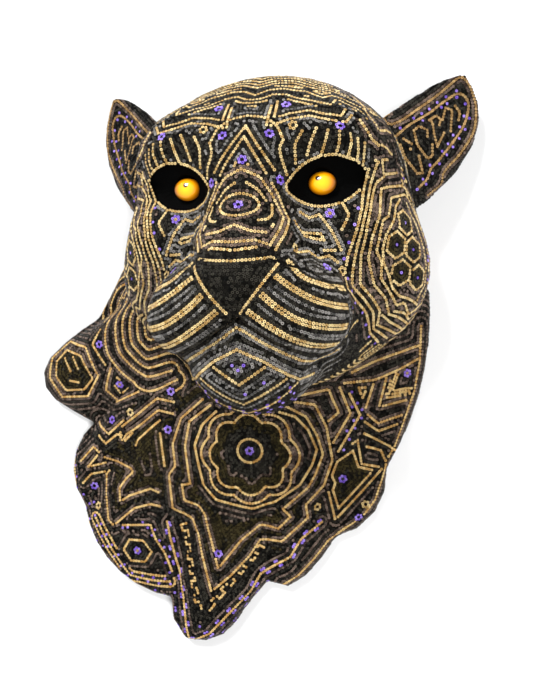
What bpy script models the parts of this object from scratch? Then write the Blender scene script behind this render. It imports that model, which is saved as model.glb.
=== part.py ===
"""Beaded big cat head for a wall: a hollow carved head and a scalloped collar, doweled ears, glass eyes,
fields of wax and seed beads over every carved face, and a D-ring hanger on a batten behind."""
import math
from typing import NamedTuple

import bmesh
import bpy
import numpy as np

MM = 0.001

# Sizes are in millimetres. Across is to the viewer's right, depth runs from the wall towards the viewer,
# and height is measured from the line through the eyes. The mask hangs at the origin, on the wall.
HANG_ABOVE_EYES = 43.0
FIT_GAP = 0.35
BED_GAP = 0.9
NECK_GAP = 0.8
BEAD_FIELD = 3.0
HEAD_WALL = 10.0
COLLAR_WALL = 8.0


class Mass(NamedTuple):
    """A rounded mass of the carving: its centre and its half sizes. One off the middle is mirrored."""
    across: float
    depth: float
    height: float
    half_width: float
    half_depth: float
    half_height: float


CRANIUM = Mass(0, 40, 4, 88, 64, 75)
CHEEK = Mass(38, 40, -46, 62, 50, 56)
JAW = Mass(0, 48, -86, 62, 54, 36)
CHEEKBONE = Mass(50, 68, -26, 34, 32, 28)
BROW = Mass(42, 73, 21, 36, 36, 30)
BRIDGE_ROOT = Mass(0, 88, 14, 28, 28, 30)
BRIDGE = Mass(0, 102, -14, 25, 23, 28)
BRIDGE_TIP = Mass(0, 118, -42, 27, 24, 20)
NOSE_PAD = Mass(0, 130, -60, 24, 17, 18)
MUZZLE = Mass(0, 90, -74, 50, 46, 36)
WHISKER_PAD = Mass(28, 108, -77, 30, 34, 27)
CHIN = Mass(0, 96, -109, 32, 34, 25)
MASSES = (CRANIUM, CHEEK, JAW, CHEEKBONE, BROW, BRIDGE_ROOT, BRIDGE, BRIDGE_TIP, NOSE_PAD, MUZZLE,
          WHISKER_PAD, CHIN)
MASS_BLEND = 6.0


class Crease(NamedTuple):
    """A line pressed into the face, drawn across and up as seen from the front, and mirrored."""
    line: tuple
    depth: float
    width: float


NOSE_CORNER = (26.0, -50.0)
LIP_MIDDLE = (0.0, -82.0)
MOUTH_LOW = (42.0, -103.0)
MOUTH_CORNER = (55.0, -97.0)
MOUTH_CREASE = Crease((LIP_MIDDLE, (20.0, -94.5), MOUTH_LOW, MOUTH_CORNER), 5.5, 4.0)
NOSE_CREASE = Crease(((0.0, -49.0), NOSE_CORNER, (0.0, -79.0)), 2.2, 3.0)
CREASES = (MOUTH_CREASE, NOSE_CREASE)
CREASE_MIN_DEPTH = 84.0
FACE_FADE = 20.0

EYE_ACROSS = 45.0
EYE_LENGTH = 46.0
EYE_HEIGHT = 28.0
EYE_SLANT = math.radians(14)
EYE_CORNER_POINT = 1.35
EYE_CORNER_INSET = 1.6
EYE_CUT_DEPTHS = (30.0, 140.0)
SOCKET_DEPTH = 4.5
SOCKET_SPREAD = 1.3
SOCKET_MIN_DEPTH = 40.0
GLASS_ACROSS = 41.0
GLASS_DIAMETER = 16.0
GLASS_DOME = 6.0
GLASS_GIRDLE = 0.8
GLASS_BEVEL = 0.4
GLASS_RINGS = (0.4, 0.7, 0.92)
IRIS_THICKNESS = 0.8
IRIS_MARGIN = 0.2
SETTING_DROP = 2.5
SETTING_DISH = 3.0
SETTING_BACK = 4.5
SETTING_RINGS = (1.0, 0.75, 0.4)
SETTING_LEAST_EDGE = 2.0
SEAT_BELOW_DISH = 1.0

# The head is drawn on rays from a hub on the wall plane: columns turn about the lip, rows run out to the rim.
HUB_HEIGHT = -40.0
LIP_DEPTH = 146.0
THROAT_ANGLE = -90.0
MOUTH_ANGLE = -25.0
CHEEK_ANGLE = 35.0
NOSE_ANGLE = 48.0
HEAD_TURN_ANGLES = (THROAT_ANGLE, MOUTH_ANGLE, CHEEK_ANGLE, NOSE_ANGLE, 90.0)
HEAD_COLUMN_COUNTS = (8, 9, 2, 7)
MUZZLE_ROWS = 8
FACE_ROWS = 12
MUZZLE_EDGE = ((-90, 54, 100), (-60, 55, 101), (-25, 58, 104), (15, 57, 108), (48, 41, 137), (90, 33, 146))
LIP_HOLE = 1.6
RAY_REACH = 230.0
RAY_STEP = 3.0
RAY_HALVINGS = 14

# The collar: lobes of the mane as arcs through three points each, from the left cheek round to the right one.
LOBES = (((-99, 8), (-115, -30), (-139, -75)),
         ((-139, -75), (-158, -87), (-178, -104)),
         ((-178, -104), (-183, -117), (-174, -134)),
         ((-174, -134), (-158, -143), (-142, -151)),
         ((-142, -151), (-159, -181), (-150, -212)),
         ((-150, -212), (-129, -254), (-83, -275)),
         ((-83, -275), (-82, -291), (-73, -304)),
         ((-73, -304), (-55, -303), (-38, -290)),
         ((-38, -290), (-26, -273), (-14, -259)),
         ((-14, -259), (1, -262), (13, -254)),
         ((13, -254), (25, -240), (34, -226)),
         ((34, -226), (60, -209), (69, -178)),
         ((69, -178), (90, -130), (98, -58)))
LOBE_COLUMNS = (4, 3, 3, 2, 5, 7, 2, 3, 3, 2, 2, 4, 7)
NOTCHES = (1, 4, 5, 6, 9, 11, 12)
TONGUE_LOBES = (6, 9)
COLLAR_FRONT_ROWS = 6
COLLAR_EDGE_SHARES = (0.86, 0.93, 0.975, 1.0)
COLLAR_EDGE = 13.0
COLLAR_END_EDGE = 10.0
COLLAR_END_TAPER = 0.5
COLLAR_LEAST = 0.6
COLLAR_SWELL = 5.0
COLLAR_FALL = 1.2
EDGE_MOST_SHARE = 0.6
NECK_LIFT = math.radians(27)
NECK_END_LIFT = math.radians(5.5)
NECK_END_MARGIN = math.radians(8)
NECK_SWELL = 0.75
TUFT_VALLEY = 6.0
TUFT_VALLEY_WIDTH = 9.0
TUFT_VALLEY_FALL = 1.5
TUFT_EDGE_SHARE = 0.125

# The ear, as seen from the front: a top edge and an outer edge that both run from the head to the tip.
EAR_TOP_EDGE = ((52, 32), (78, 51), (99, 74), (116, 78))
EAR_OUTER_EDGE = ((77, -20), (119, 8), (146, 54), (116, 78))
EAR_ROOT = (70.0, 52.0)
EAR_SWEEP = 0.633
LEFT_EAR_LEAN = -0.04
RIGHT_EAR_LEAN = 0.04
EAR_BASE_THICKNESS = 17.0
EAR_TIP_THICKNESS = 11.0
EAR_TIP_ROUND = 2.0
EAR_CUP = 9.0
EAR_CUP_START = 0.3
EAR_CUP_RISE = 0.35
EAR_CUP_FULL_HALF_WIDTH = 24.0
EAR_ROWS = 8
EAR_ROW_CROWDING = 1.4
EAR_SIDES = 14
EAR_BURIED_TIP = 0.1
DOWEL_DIAMETER = 5.0
DOWEL_LENGTH = 40.0
DOWEL_IN_EAR = 14.0
DOWEL_AIM = 0.45

BATTEN_HEIGHT = 46.0
BATTEN_THICKNESS = 14.0
BATTEN_RECESS = 8.0
STRAP_WIDTH = 11.0
STRAP_LENGTH = 36.0
STRAP_SHEET = 1.0
STRAP_ROLL_BORE = 3.2
STRAP_ROLL_TURN = math.radians(290)
ROLL_STAND_OFF = 0.4
RING_WIRE = 2.4
RING_WIDTH = 18.0
RING_LENGTH = 18.0
RING_CORNER = 3.0
SCREW_SHANK = 3.0
SCREW_HEAD = 6.0
SCREW_HEAD_HEIGHT = 1.6
SCREW_LENGTH = 11.0
SCREW_HEAD_ROUND = 0.8
SCREW_POINT_LENGTH = 2.0
SCREW_POINT_RADIUS = 0.5
SCREW_SIDES = 12
SCREW_DROPS = (23.0, 31.0)

HUB = np.array([0.0, 0.0, HUB_HEIGHT])
FORWARD = np.array([0.0, 1.0, 0.0])


def material(name, colour, roughness, metallic=0.0):
    """Principled finish in the piece's own colour."""
    finish = bpy.data.materials.new(name)
    finish.use_nodes = True
    shader = finish.node_tree.nodes["Principled BSDF"]
    shader.inputs["Base Color"].default_value = (*colour, 1.0)
    shader.inputs["Roughness"].default_value = roughness
    shader.inputs["Metallic"].default_value = metallic
    return finish


def to_world(points):
    """Across, depth and height in millimetres become Blender's metres, with the hanging point as origin."""
    points = np.asarray(points, float)
    return np.stack([points[..., 0], -points[..., 1], points[..., 2] - HANG_ABOVE_EYES], axis=-1) * MM


def add_object(name, points, faces, finish, smooth_angle=40.0):
    """One closed mesh object from points in mask coordinates, faces turned outwards."""
    mesh = bpy.data.meshes.new(name)
    mesh.from_pydata(to_world(points).tolist(), [], [list(face) for face in faces])
    model = bmesh.new()
    model.from_mesh(mesh)
    bmesh.ops.recalc_face_normals(model, faces=model.faces)
    model.to_mesh(mesh)
    model.free()
    mesh.shade_smooth()
    mesh.set_sharp_from_angle(angle=math.radians(smooth_angle))
    item = bpy.data.objects.new(name, mesh)
    bpy.context.scene.collection.objects.link(item)
    if finish:
        item.data.materials.append(finish)
    return item


def as_cutter(item):
    """Keeps a cutting shape out of the model itself."""
    item.hide_render = True
    item.display_type = "WIRE"
    return item


def cut(item, cutter, operation="DIFFERENCE"):
    modifier = item.modifiers.new(cutter.name, "BOOLEAN")
    modifier.operation = operation
    modifier.object = cutter
    modifier.solver = "EXACT"


def unit(vectors):
    return vectors / np.linalg.norm(vectors, axis=-1, keepdims=True)


def swing(start, end, share):
    """Turns one direction towards another by a share of the angle between them."""
    angle = np.arccos(np.clip(np.sum(start * end, axis=-1, keepdims=True), -1, 1))
    return (np.sin((1 - share) * angle) * start + np.sin(share * angle) * end) / np.sin(angle)


def ease(share):
    share = np.clip(share, 0, 1)
    return share * share * (3 - 2 * share)


def mass_distance(points, mass, side):
    centre = np.array([side * mass.across, mass.depth, mass.height])
    radii = np.array([mass.half_width, mass.half_depth, mass.half_height])
    scaled = (points - centre) / radii
    reach = np.linalg.norm(scaled, axis=-1)
    slope = np.linalg.norm(scaled / radii, axis=-1)
    return reach * (reach - 1) / np.maximum(slope, 1e-6)


def line_distance(front, line):
    """Distance, as seen from the front, from points to a line of straight runs."""
    nearest = np.full(front.shape[:-1], np.inf)
    for start, end in zip(np.array(line[:-1]), np.array(line[1:])):
        run = end - start
        share = np.clip(((front - start) @ run) / (run @ run), 0, 1)
        nearest = np.minimum(nearest, np.linalg.norm(front - start - share[..., None] * run, axis=-1))
    return nearest


def eye_frame(front):
    """Front view coordinates along and across the right eye's slanted length, in half lengths and heights."""
    along = np.array([math.cos(EYE_SLANT), math.sin(EYE_SLANT)])
    over = np.array([-along[1], along[0]])
    offset = front - np.array([EYE_ACROSS, 0.0])
    return (offset @ along) / (EYE_LENGTH / 2), (offset @ over) / (EYE_HEIGHT / 2)


def head_field(points):
    """About the distance to the head's beaded face, negative inside: blended masses, creases and sockets."""
    total = np.zeros(points.shape[:-1])
    for mass in MASSES:
        for side in ((1, -1) if mass.across else (1,)):
            total += np.exp(np.clip(-mass_distance(points, mass, side) / MASS_BLEND, -60, 60))
    field = -MASS_BLEND * np.log(total + 1e-30)
    front = np.stack([np.abs(points[..., 0]), points[..., 2]], axis=-1)
    reach = ease((points[..., 1] - CREASE_MIN_DEPTH) / FACE_FADE)
    for crease in CREASES:
        field += reach * crease.depth * np.exp(-(line_distance(front, crease.line) / crease.width) ** 2)
    along, over = eye_frame(front)
    spread = (along ** 2 + over ** 2) / SOCKET_SPREAD ** 2
    field += SOCKET_DEPTH * np.exp(-spread ** 2) * ease((points[..., 1] - SOCKET_MIN_DEPTH) / FACE_FADE)
    return field


def outermost(start, directions, inset):
    """How far along each ray the head's face lies, seen from outside, with the face set in by a depth."""
    steps = np.arange(RAY_REACH, 0.0, -RAY_STEP)
    inside = np.stack([head_field(start + step * directions) for step in steps]) < -inset
    first = np.maximum(inside.argmax(axis=0), 1)
    high, low = steps[first - 1], steps[first]
    for _ in range(RAY_HALVINGS):
        middle = (high + low) / 2
        within = head_field(start + middle[..., None] * directions) < -inset
        low = np.where(within, middle, low)
        high = np.where(within, high, middle)
    return (high + low) / 2


def head_radius(directions, inset=0.0):
    return outermost(HUB, directions, inset)


def face_depth(across, height, inset=0.0):
    """Depth of the beaded face straight in front of points on the wall."""
    start = np.stack([across, np.zeros_like(across), height], axis=-1)
    return outermost(start, np.broadcast_to(FORWARD, start.shape), inset)


def neck_lift(turn):
    """How far the head's rim is raised off the wall where the collar's neck edge carries it."""
    start, end = COLLAR_TURNS[0], COLLAR_TURNS[-1]
    turn = np.mod(turn - start + NECK_END_MARGIN, 2 * math.pi) + start - NECK_END_MARGIN
    share = (turn - start) / (end - start)
    within = turn <= end + NECK_END_MARGIN
    swell = np.sin(math.pi * np.clip(share, 0, 1)) ** NECK_SWELL
    return np.where(within, NECK_END_LIFT + (NECK_LIFT - NECK_END_LIFT) * swell, 0.0)


def rim_direction(turn, lift):
    flat = np.stack([np.cos(turn), np.zeros_like(turn), np.sin(turn)], axis=-1)
    return np.cos(lift)[..., None] * flat + np.sin(lift)[..., None] * FORWARD


def head_direction(degrees, row):
    """The ray of a column and a row: row 0 is the lip, 1 the edge of the muzzle and 2 the rim."""
    degrees, row = np.broadcast_arrays(np.asarray(degrees, float), np.asarray(row, float))
    turn = np.radians(degrees)
    folded = 90 - np.abs(np.mod(degrees + 90, 360) - 180)
    stops = np.array(MUZZLE_EDGE, float)
    radius = np.interp(folded, stops[:, 0], stops[:, 1])
    depth = np.interp(folded, stops[:, 0], stops[:, 2])
    lip = np.array([LIP_MIDDLE[0], LIP_DEPTH, LIP_MIDDLE[1]])
    edge = np.stack([radius * np.cos(turn), depth, lip[2] + radius * np.sin(turn)], axis=-1) - HUB
    pole = np.broadcast_to(unit(lip - HUB), edge.shape)
    edge = unit(edge)
    rim = rim_direction(turn, neck_lift(turn))
    inner = swing(pole, edge, np.clip(row, 0, 1)[..., None])
    outer = swing(edge, rim, np.clip(row - 1, 0, 1)[..., None])
    return np.where((row <= 1)[..., None], inner, outer)


def head_columns():
    """Column angles from the throat up the right side and down the left one."""
    right = []
    for start, end, count in zip(HEAD_TURN_ANGLES, HEAD_TURN_ANGLES[1:], HEAD_COLUMN_COUNTS):
        right.extend(np.linspace(start, end, count, endpoint=False))
    right.append(HEAD_TURN_ANGLES[-1])
    left = [180.0 - angle for angle in reversed(right[1:-1])]
    return np.array(right + left)


def bed_radius(directions):
    """Radius of the wax bed's back along rays."""
    return np.minimum(head_radius(directions, BEAD_FIELD), head_radius(directions) - BEAD_FIELD / 2)


def every_other_row(radius):
    """Half as many rows, each set in to its neighbours' smallest radius, so that nothing stands through."""
    padded = np.concatenate([radius[:1], radius, radius[-1:]])
    return np.minimum(np.minimum(padded[:-2], padded[1:-1]), padded[2:])[::2]


def strip(first, second, flip=False):
    """Triangles between two runs of vertex numbers of the same length."""
    faces = []
    for here, there in zip(range(len(first) - 1), range(1, len(first))):
        quad = (first[here], first[there], second[there], second[here])
        faces += [(quad[0], quad[1], quad[2]), (quad[0], quad[2], quad[3])]
    return [face[::-1] for face in faces] if flip else faces


def stitch(fine, coarse, flip=False):
    """Triangles between two runs of vertex numbers, the first with twice the steps of the second."""
    faces = []
    for step in range(len(coarse) - 1):
        start, middle, end = fine[2 * step:2 * step + 3]
        faces += [(coarse[step], start, middle), (coarse[step], middle, coarse[step + 1]),
                  (coarse[step + 1], middle, end)]
    return [face[::-1] for face in faces] if flip else faces


def patch_solid(name, outer, inner, finish):
    """A closed shell between a grid of points and a backing grid with half its rows."""
    columns = outer.shape[1]
    outer_ids = np.arange(outer.shape[0] * columns).reshape(-1, columns)
    inner_ids = np.arange(inner.shape[0] * columns).reshape(-1, columns) + outer_ids.size
    faces = []
    for first, second in zip(outer_ids[:-1], outer_ids[1:]):
        faces += strip(first, second)
    for first, second in zip(inner_ids[:-1], inner_ids[1:]):
        faces += strip(first, second, flip=True)
    faces += strip(outer_ids[0], inner_ids[0], flip=True)
    faces += strip(outer_ids[-1], inner_ids[-1])
    for column in (0, columns - 1):
        faces += stitch(outer_ids[:, column], inner_ids[:, column], flip=column > 0)
    points = np.concatenate([outer.reshape(-1, 3), inner.reshape(-1, 3)])
    return add_object(name, points, faces, finish)


def dome_faces(rows, columns, start):
    """Triangles of a closed-top grid: one top point, then rows of points that wrap round."""
    ids = np.arange(rows * columns).reshape(rows, columns) + start + 1
    ring = np.concatenate([ids, ids[:, :1]], axis=1)
    faces = [(start, ring[0][column], ring[0][column + 1]) for column in range(columns)]
    for row in range(rows - 1):
        faces += strip(ring[row], ring[row + 1], flip=True)
    return faces, ring[-1]


def head_rows():
    """Rows of the head's grid, from the small round gap at the lip to the rim."""
    lip = [LIP_HOLE / MUZZLE_EDGE[0][1]]
    muzzle = np.linspace(0, 1, MUZZLE_ROWS + 1)[1:]
    return np.concatenate([lip, muzzle, 1 + np.linspace(0, 1, FACE_ROWS + 1)[1:]])


def head_rays():
    return head_direction(head_columns()[None, :], head_rows()[:, None])


def lip_point(radius):
    """The middle of a layer of the head, level with the lowest point round it."""
    return HUB + radius.min() * head_direction(np.array([90.0]), np.array([1e-4]))


def on_rays(radius, rays):
    return HUB + radius[..., None] * rays


def cavity_radius(carved):
    """Radii of the plainer cavity behind the carved face, on every other of its rows and on the rim."""
    kept = list(range(1, len(carved) - 1, 2)) + [len(carved) - 1]
    nearest = []
    for row in kept:
        near = carved[row:] if row == kept[-1] else carved[max(row - 2, 0):row + 3]
        smallest = near.min(axis=0)
        nearest.append(np.minimum(smallest, np.minimum(np.roll(smallest, 1), np.roll(smallest, -1))))
    return kept, np.stack(nearest) - HEAD_WALL


def head_core(finish):
    """Hollow carved head: the face under the beads, and a plainer cavity that follows it."""
    rays = head_rays()
    carved = every_other_row(bed_radius(rays)) - BED_GAP
    rays = rays[::2]
    kept, cavity = cavity_radius(carved)
    columns = rays.shape[1]
    faces, outer_rim = dome_faces(len(carved), columns, 0)
    inner_faces, inner_rim = dome_faces(len(cavity), columns, 1 + carved.size)
    faces += [face[::-1] for face in inner_faces] + strip(outer_rim, inner_rim, flip=True)
    room = np.concatenate([lip_point(cavity[0]), on_rays(cavity, rays[kept]).reshape(-1, 3)])
    points = np.concatenate([lip_point(carved[0]), on_rays(carved, rays).reshape(-1, 3), room])
    return add_object("head_core", points, faces, finish), room


def hub_solid(name, points, rows):
    """A layer of the head closed to a point behind the hub, as a cutting shape."""
    columns = len(head_columns())
    faces, rim = dome_faces(rows, columns, 0)
    faces += [(rim[column + 1], rim[column], len(points)) for column in range(columns)]
    return as_cutter(add_object(name, np.concatenate([points, HUB[None] - FORWARD]), faces, None))


def filled_head(name, swell):
    """The whole head as one solid, swollen by a clearance, to trim what seats on it."""
    rays = head_rays()
    radius = head_radius(rays) + swell
    points = np.concatenate([lip_point(radius[0]), on_rays(radius, rays).reshape(-1, 3)])
    return hub_solid(name, points, len(rays))


def head_field_piece(name, start, end, on_muzzle, finish):
    """One field of beads on the head, between two columns, on the muzzle or outside it."""
    columns = head_columns()
    span = np.mod(columns - start, 360)
    shares = np.sort(span[span < end - start - 1e-6]) / (end - start)
    shares = np.append(shares, 1.0)
    rows = head_rows()
    if on_muzzle:
        rows = rows[:MUZZLE_ROWS + 1]
        rows[-1] -= FIT_GAP / 2 / MUZZLE_EDGE[0][1]
    else:
        rows = rows[MUZZLE_ROWS:]
        rows[0] += FIT_GAP / 2 / LIP_DEPTH
    from_lip = np.where(rows <= 1, rows * MUZZLE_EDGE[-1][1], MUZZLE_EDGE[-1][1])
    gap = np.degrees(FIT_GAP / 2 / from_lip)[:, None]
    angles = start + gap + (end - start - 2 * gap) * shares[None, :]
    rays = head_direction(angles, rows[:, None])
    back = every_other_row(bed_radius(rays))
    return patch_solid(name, on_rays(head_radius(rays), rays), on_rays(back, rays[::2]), finish)


def circle_centre(first, second, third):
    matrix = 2 * np.array([second - first, third - first])
    values = np.array([second @ second - first @ first, third @ third - first @ first])
    return np.linalg.solve(matrix, values)


def lobe_points(lobe, count):
    """Evenly turned points along a lobe's arc, without its last point."""
    first, second, third = (np.array(point, float) for point in lobe)
    centre = circle_centre(first, second, third)
    turns = np.unwrap([math.atan2(*(point - centre)[::-1]) for point in (first, second, third)])
    angles = np.linspace(turns[0], turns[2], count, endpoint=False)
    radius = np.linalg.norm(first - centre)
    return centre + radius * np.stack([np.cos(angles), np.sin(angles)], axis=-1)


def collar_outline():
    points = [lobe_points(lobe, count) for lobe, count in zip(LOBES, LOBE_COLUMNS)]
    return np.concatenate(points + [np.array([LOBES[-1][2]], float)])


def turn_of(points):
    """Angle round the hub on the wall, from 0 at the viewer's right, growing anticlockwise."""
    return np.mod(np.arctan2(points[..., 1] - HUB_HEIGHT, points[..., 0]), 2 * math.pi)


OUTLINE = collar_outline()
COLLAR_TURNS = turn_of(OUTLINE)
OUTLINE_REACH = np.hypot(OUTLINE[:, 0], OUTLINE[:, 1] - HUB_HEIGHT)


def outline_reach(turn):
    return np.interp(turn, COLLAR_TURNS, OUTLINE_REACH)


def neck_radius(turn):
    """Length of the ray that meets the head's beaded face at the neck edge."""
    return head_radius(rim_direction(turn, neck_lift(turn)))


def collar_grid(turns, shares, inset):
    """Points of the collar's front set in by a depth, from the neck edge out to the rim on the wall."""
    turns, shares = np.broadcast_arrays(turns, shares)
    neck = neck_radius(turns)
    lift = neck_lift(turns) - NECK_GAP / neck
    near, far = neck * np.cos(lift), outline_reach(turns)
    from_end = np.minimum(turns - COLLAR_TURNS[0], COLLAR_TURNS[-1] - turns)
    fullness = ease(from_end / COLLAR_END_TAPER)
    edge = COLLAR_END_EDGE + (COLLAR_EDGE - COLLAR_END_EDGE) * fullness
    front = 1 - np.minimum(edge / (far - near), EDGE_MOST_SHARE)
    slope = np.clip(shares / front, 0, 1)
    crest = edge + (neck * np.sin(lift) - edge) * (1 - slope) ** COLLAR_FALL
    crest += COLLAR_SWELL * np.sin(math.pi * slope) * fullness
    fold = slope ** TUFT_VALLEY_FALL * ease((1 - shares) / TUFT_EDGE_SHARE)
    crest -= TUFT_VALLEY * tuft_valley(turns) * fold * fullness
    buried = inset * (np.sin(lift) + (1 - np.sin(lift)) * ease(2 * slope))
    curl = np.clip((shares - front) / (1 - front), 0, 1)
    depth = np.maximum(crest - buried, COLLAR_LEAST) * np.sqrt(np.maximum(1 - curl ** 2, 0))
    near, far = near - inset * np.cos(lift), far - inset
    radius = near + (far - near) * shares
    return np.stack([radius * np.cos(turns), depth, HUB_HEIGHT + radius * np.sin(turns)], axis=-1)


def tuft_valley(turns):
    """1 along the folds that run in from the notches between tufts, 0 away from them."""
    notches = COLLAR_TURNS[np.cumsum((0,) + LOBE_COLUMNS)[list(NOTCHES)]]
    aside = (turns[..., None] - notches) * outline_reach(turns)[..., None] / TUFT_VALLEY_WIDTH
    return np.minimum(np.exp(-aside ** 2).sum(axis=-1), 1)


def collar_shares():
    """Rows of the collar: even down the front, closer where the edge rolls to the wall."""
    front = np.linspace(0, COLLAR_EDGE_SHARES[0], COLLAR_FRONT_ROWS)
    return np.concatenate([front, COLLAR_EDGE_SHARES[1:]])


def collar_core(finish):
    shares = collar_shares()[:, None]
    carved = BEAD_FIELD + BED_GAP
    outer = collar_grid(COLLAR_TURNS[None, :], shares[::2], carved)
    inner = collar_grid(COLLAR_TURNS[None, :], shares[::4], carved + COLLAR_WALL)
    return patch_solid("collar_core", outer, inner, finish)


def collar_field_piece(name, first, last, finish):
    """One field of beads on the collar, between two columns."""
    shares = collar_shares()[:, None]
    turns = COLLAR_TURNS[first:last + 1]
    gap = FIT_GAP / 2 / outline_reach(turns[0])
    span = turns[-1] - turns[0]
    turns = turns[0] + gap + (turns - turns[0]) * (span - 2 * gap) / span
    outer = collar_grid(turns[None, :], shares, 0.0)
    inner = collar_grid(turns[None, :], shares[::2], BEAD_FIELD)
    return patch_solid(name, outer, inner, finish)


def bezier(points, share):
    start, near, far, end = (np.array(point, float) for point in points)
    share = np.asarray(share)[..., None]
    rest = 1 - share
    return rest ** 3 * start + 3 * rest ** 2 * share * near + 3 * rest * share ** 2 * far + share ** 3 * end


def ear_point(side, across, height, out):
    """A point of the ear from its front view, on its swept-back plane, moved out along the plane's normal."""
    across = across + height * (RIGHT_EAR_LEAN if side > 0 else LEFT_EAR_LEAN)
    depth = EAR_ROOT[1] - EAR_SWEEP * (across - EAR_ROOT[0])
    normal = unit(np.array([EAR_SWEEP, 1.0, 0.0]))
    points = np.stack([across, depth, height], axis=-1) + out[..., None] * normal
    points[..., 0] *= side
    return points


def ear_half_width(shares):
    return np.linalg.norm(bezier(EAR_OUTER_EDGE, shares) - bezier(EAR_TOP_EDGE, shares), axis=-1) / 2


def ear_middle(shares):
    return (bezier(EAR_OUTER_EDGE, shares) + bezier(EAR_TOP_EDGE, shares)) / 2


def ear_rows(side, inset):
    """Closed sections of the ear set in by a depth, from inside the head to near the tip, and the tip."""
    trial = np.linspace(0, 1, 400)
    reach = trial[ear_half_width(trial) > inset + EAR_TIP_ROUND].max()
    shares = reach * (1 - (1 - np.linspace(0, 1, EAR_ROWS)) ** EAR_ROW_CROWDING)
    half = ear_half_width(shares)
    along = (bezier(EAR_OUTER_EDGE, shares) - bezier(EAR_TOP_EDGE, shares)) / 2 / half[:, None]
    thick = (EAR_BASE_THICKNESS + (EAR_TIP_THICKNESS - EAR_BASE_THICKNESS) * shares) / 2
    turn = np.linspace(0, 2 * math.pi, EAR_SIDES, endpoint=False)
    wide = (half - inset)[:, None] * np.cos(turn)
    hollow = EAR_CUP * ease((shares - EAR_CUP_START) / EAR_CUP_RISE) * ease(half / EAR_CUP_FULL_HALF_WIDTH)
    cup = hollow[:, None] * (1 - (wide / half[:, None]) ** 2)
    out = (thick - inset)[:, None] * np.sin(turn) - cup
    front = ear_middle(shares)[:, None, :] + wide[..., None] * along[:, None, :]
    sections = ear_point(side, front[..., 0], front[..., 1], out)
    beyond = EAR_BURIED_TIP if inset else 0.5
    tip = ear_middle(np.array([reach + beyond * (1 - reach)]))
    return sections, ear_point(side, tip[:, 0], tip[:, 1], np.zeros(1))


def ear_faces(rows, start):
    ids = np.arange(rows * EAR_SIDES).reshape(rows, EAR_SIDES) + start
    ring = np.concatenate([ids, ids[:, :1]], axis=1)
    faces = []
    for row in range(rows - 1):
        faces += strip(ring[row], ring[row + 1])
    tip = start + rows * EAR_SIDES
    faces += [(ring[-1][side], ring[-1][side + 1], tip) for side in range(EAR_SIDES)]
    return faces, ring[0]


def ear_core(name, side, finish):
    sections, tip = ear_rows(side, BEAD_FIELD + BED_GAP)
    faces, base = ear_faces(len(sections), 0)
    faces.append(base[:-1])
    return add_object(name, np.concatenate([sections.reshape(-1, 3), tip]), faces, finish)


def ear_field_piece(name, side, finish):
    """The bead field that wraps the ear, open where the ear meets the head."""
    sections, tip = ear_rows(side, 0.0)
    inner_sections, inner_tip = ear_rows(side, BEAD_FIELD)
    faces, base = ear_faces(len(sections), 0)
    start = sections.shape[0] * EAR_SIDES + 1
    inner_faces, inner_base = ear_faces(len(inner_sections), start)
    faces += [face[::-1] for face in inner_faces] + strip(base, inner_base)
    points = np.concatenate([sections.reshape(-1, 3), tip, inner_sections.reshape(-1, 3), inner_tip])
    return add_object(name, points, faces, finish)


def rod(name, start, end, radius, finish, sides=14):
    """A round rod between two points in mask coordinates."""
    axis = unit(np.asarray(end) - np.asarray(start))
    aside = unit(np.cross(axis, [0.3, 0.2, 1.0]))
    over = np.cross(axis, aside)
    turn = np.linspace(0, 2 * math.pi, sides, endpoint=False)[:, None]
    ring = radius * (np.cos(turn) * aside + np.sin(turn) * over)
    ids = np.arange(sides)
    faces = strip([*ids, 0], [*(ids + sides), sides]) + [ids[::-1], ids + sides]
    return add_object(name, np.concatenate([ring + start, ring + end]), faces, finish)


def ear_dowel_line(side):
    """The dowel's axis along the middle of the ear, from its end in the ear to its end in the head."""
    middle = ear_middle(np.array([0.0, DOWEL_AIM]))
    line = ear_point(side, middle[:, 0], middle[:, 1], np.zeros(2))
    axis = unit(line[1] - line[0])
    trail = line[1] - np.linspace(0.0, EYE_CUT_DEPTHS[1], 300)[:, None] * axis
    seat = trail[np.argmax(head_field(trail) < 0)]
    return seat + DOWEL_IN_EAR * axis, seat - (DOWEL_LENGTH - DOWEL_IN_EAR) * axis


def almond(inset, count=24):
    """Outline of the right eye's opening, as seen from the front, set in by a margin."""
    turn = np.linspace(0, 2 * math.pi, count, endpoint=False)
    over = np.sign(np.sin(turn)) * np.abs(np.sin(turn)) ** EYE_CORNER_POINT
    half_length, half_height = EYE_LENGTH / 2 - EYE_CORNER_INSET * inset, EYE_HEIGHT / 2 - inset
    long, tall = half_length * np.cos(turn), half_height * over
    across = EYE_ACROSS + long * math.cos(EYE_SLANT) - tall * math.sin(EYE_SLANT)
    height = long * math.sin(EYE_SLANT) + tall * math.cos(EYE_SLANT)
    return np.stack([across, height], axis=-1)


def eye_cutter(name, side):
    """An almond bar straight through the face."""
    outline = almond(0.0)
    count = len(outline)
    rings = [np.stack([side * outline[:, 0], np.full(count, depth), outline[:, 1]], axis=-1)
             for depth in EYE_CUT_DEPTHS]
    ids = np.arange(count)
    faces = strip([*ids, 0], [*(ids + count), count]) + [ids[::-1], ids + count]
    return as_cutter(add_object(name, np.concatenate(rings), faces, None))


def eye_floor():
    """Depth of the seat that the painted disc lies on."""
    middle = face_depth(np.array([GLASS_ACROSS]), np.array([0.0]))[0]
    return middle - SETTING_DROP - SETTING_DISH - SEAT_BELOW_DISH


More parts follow.
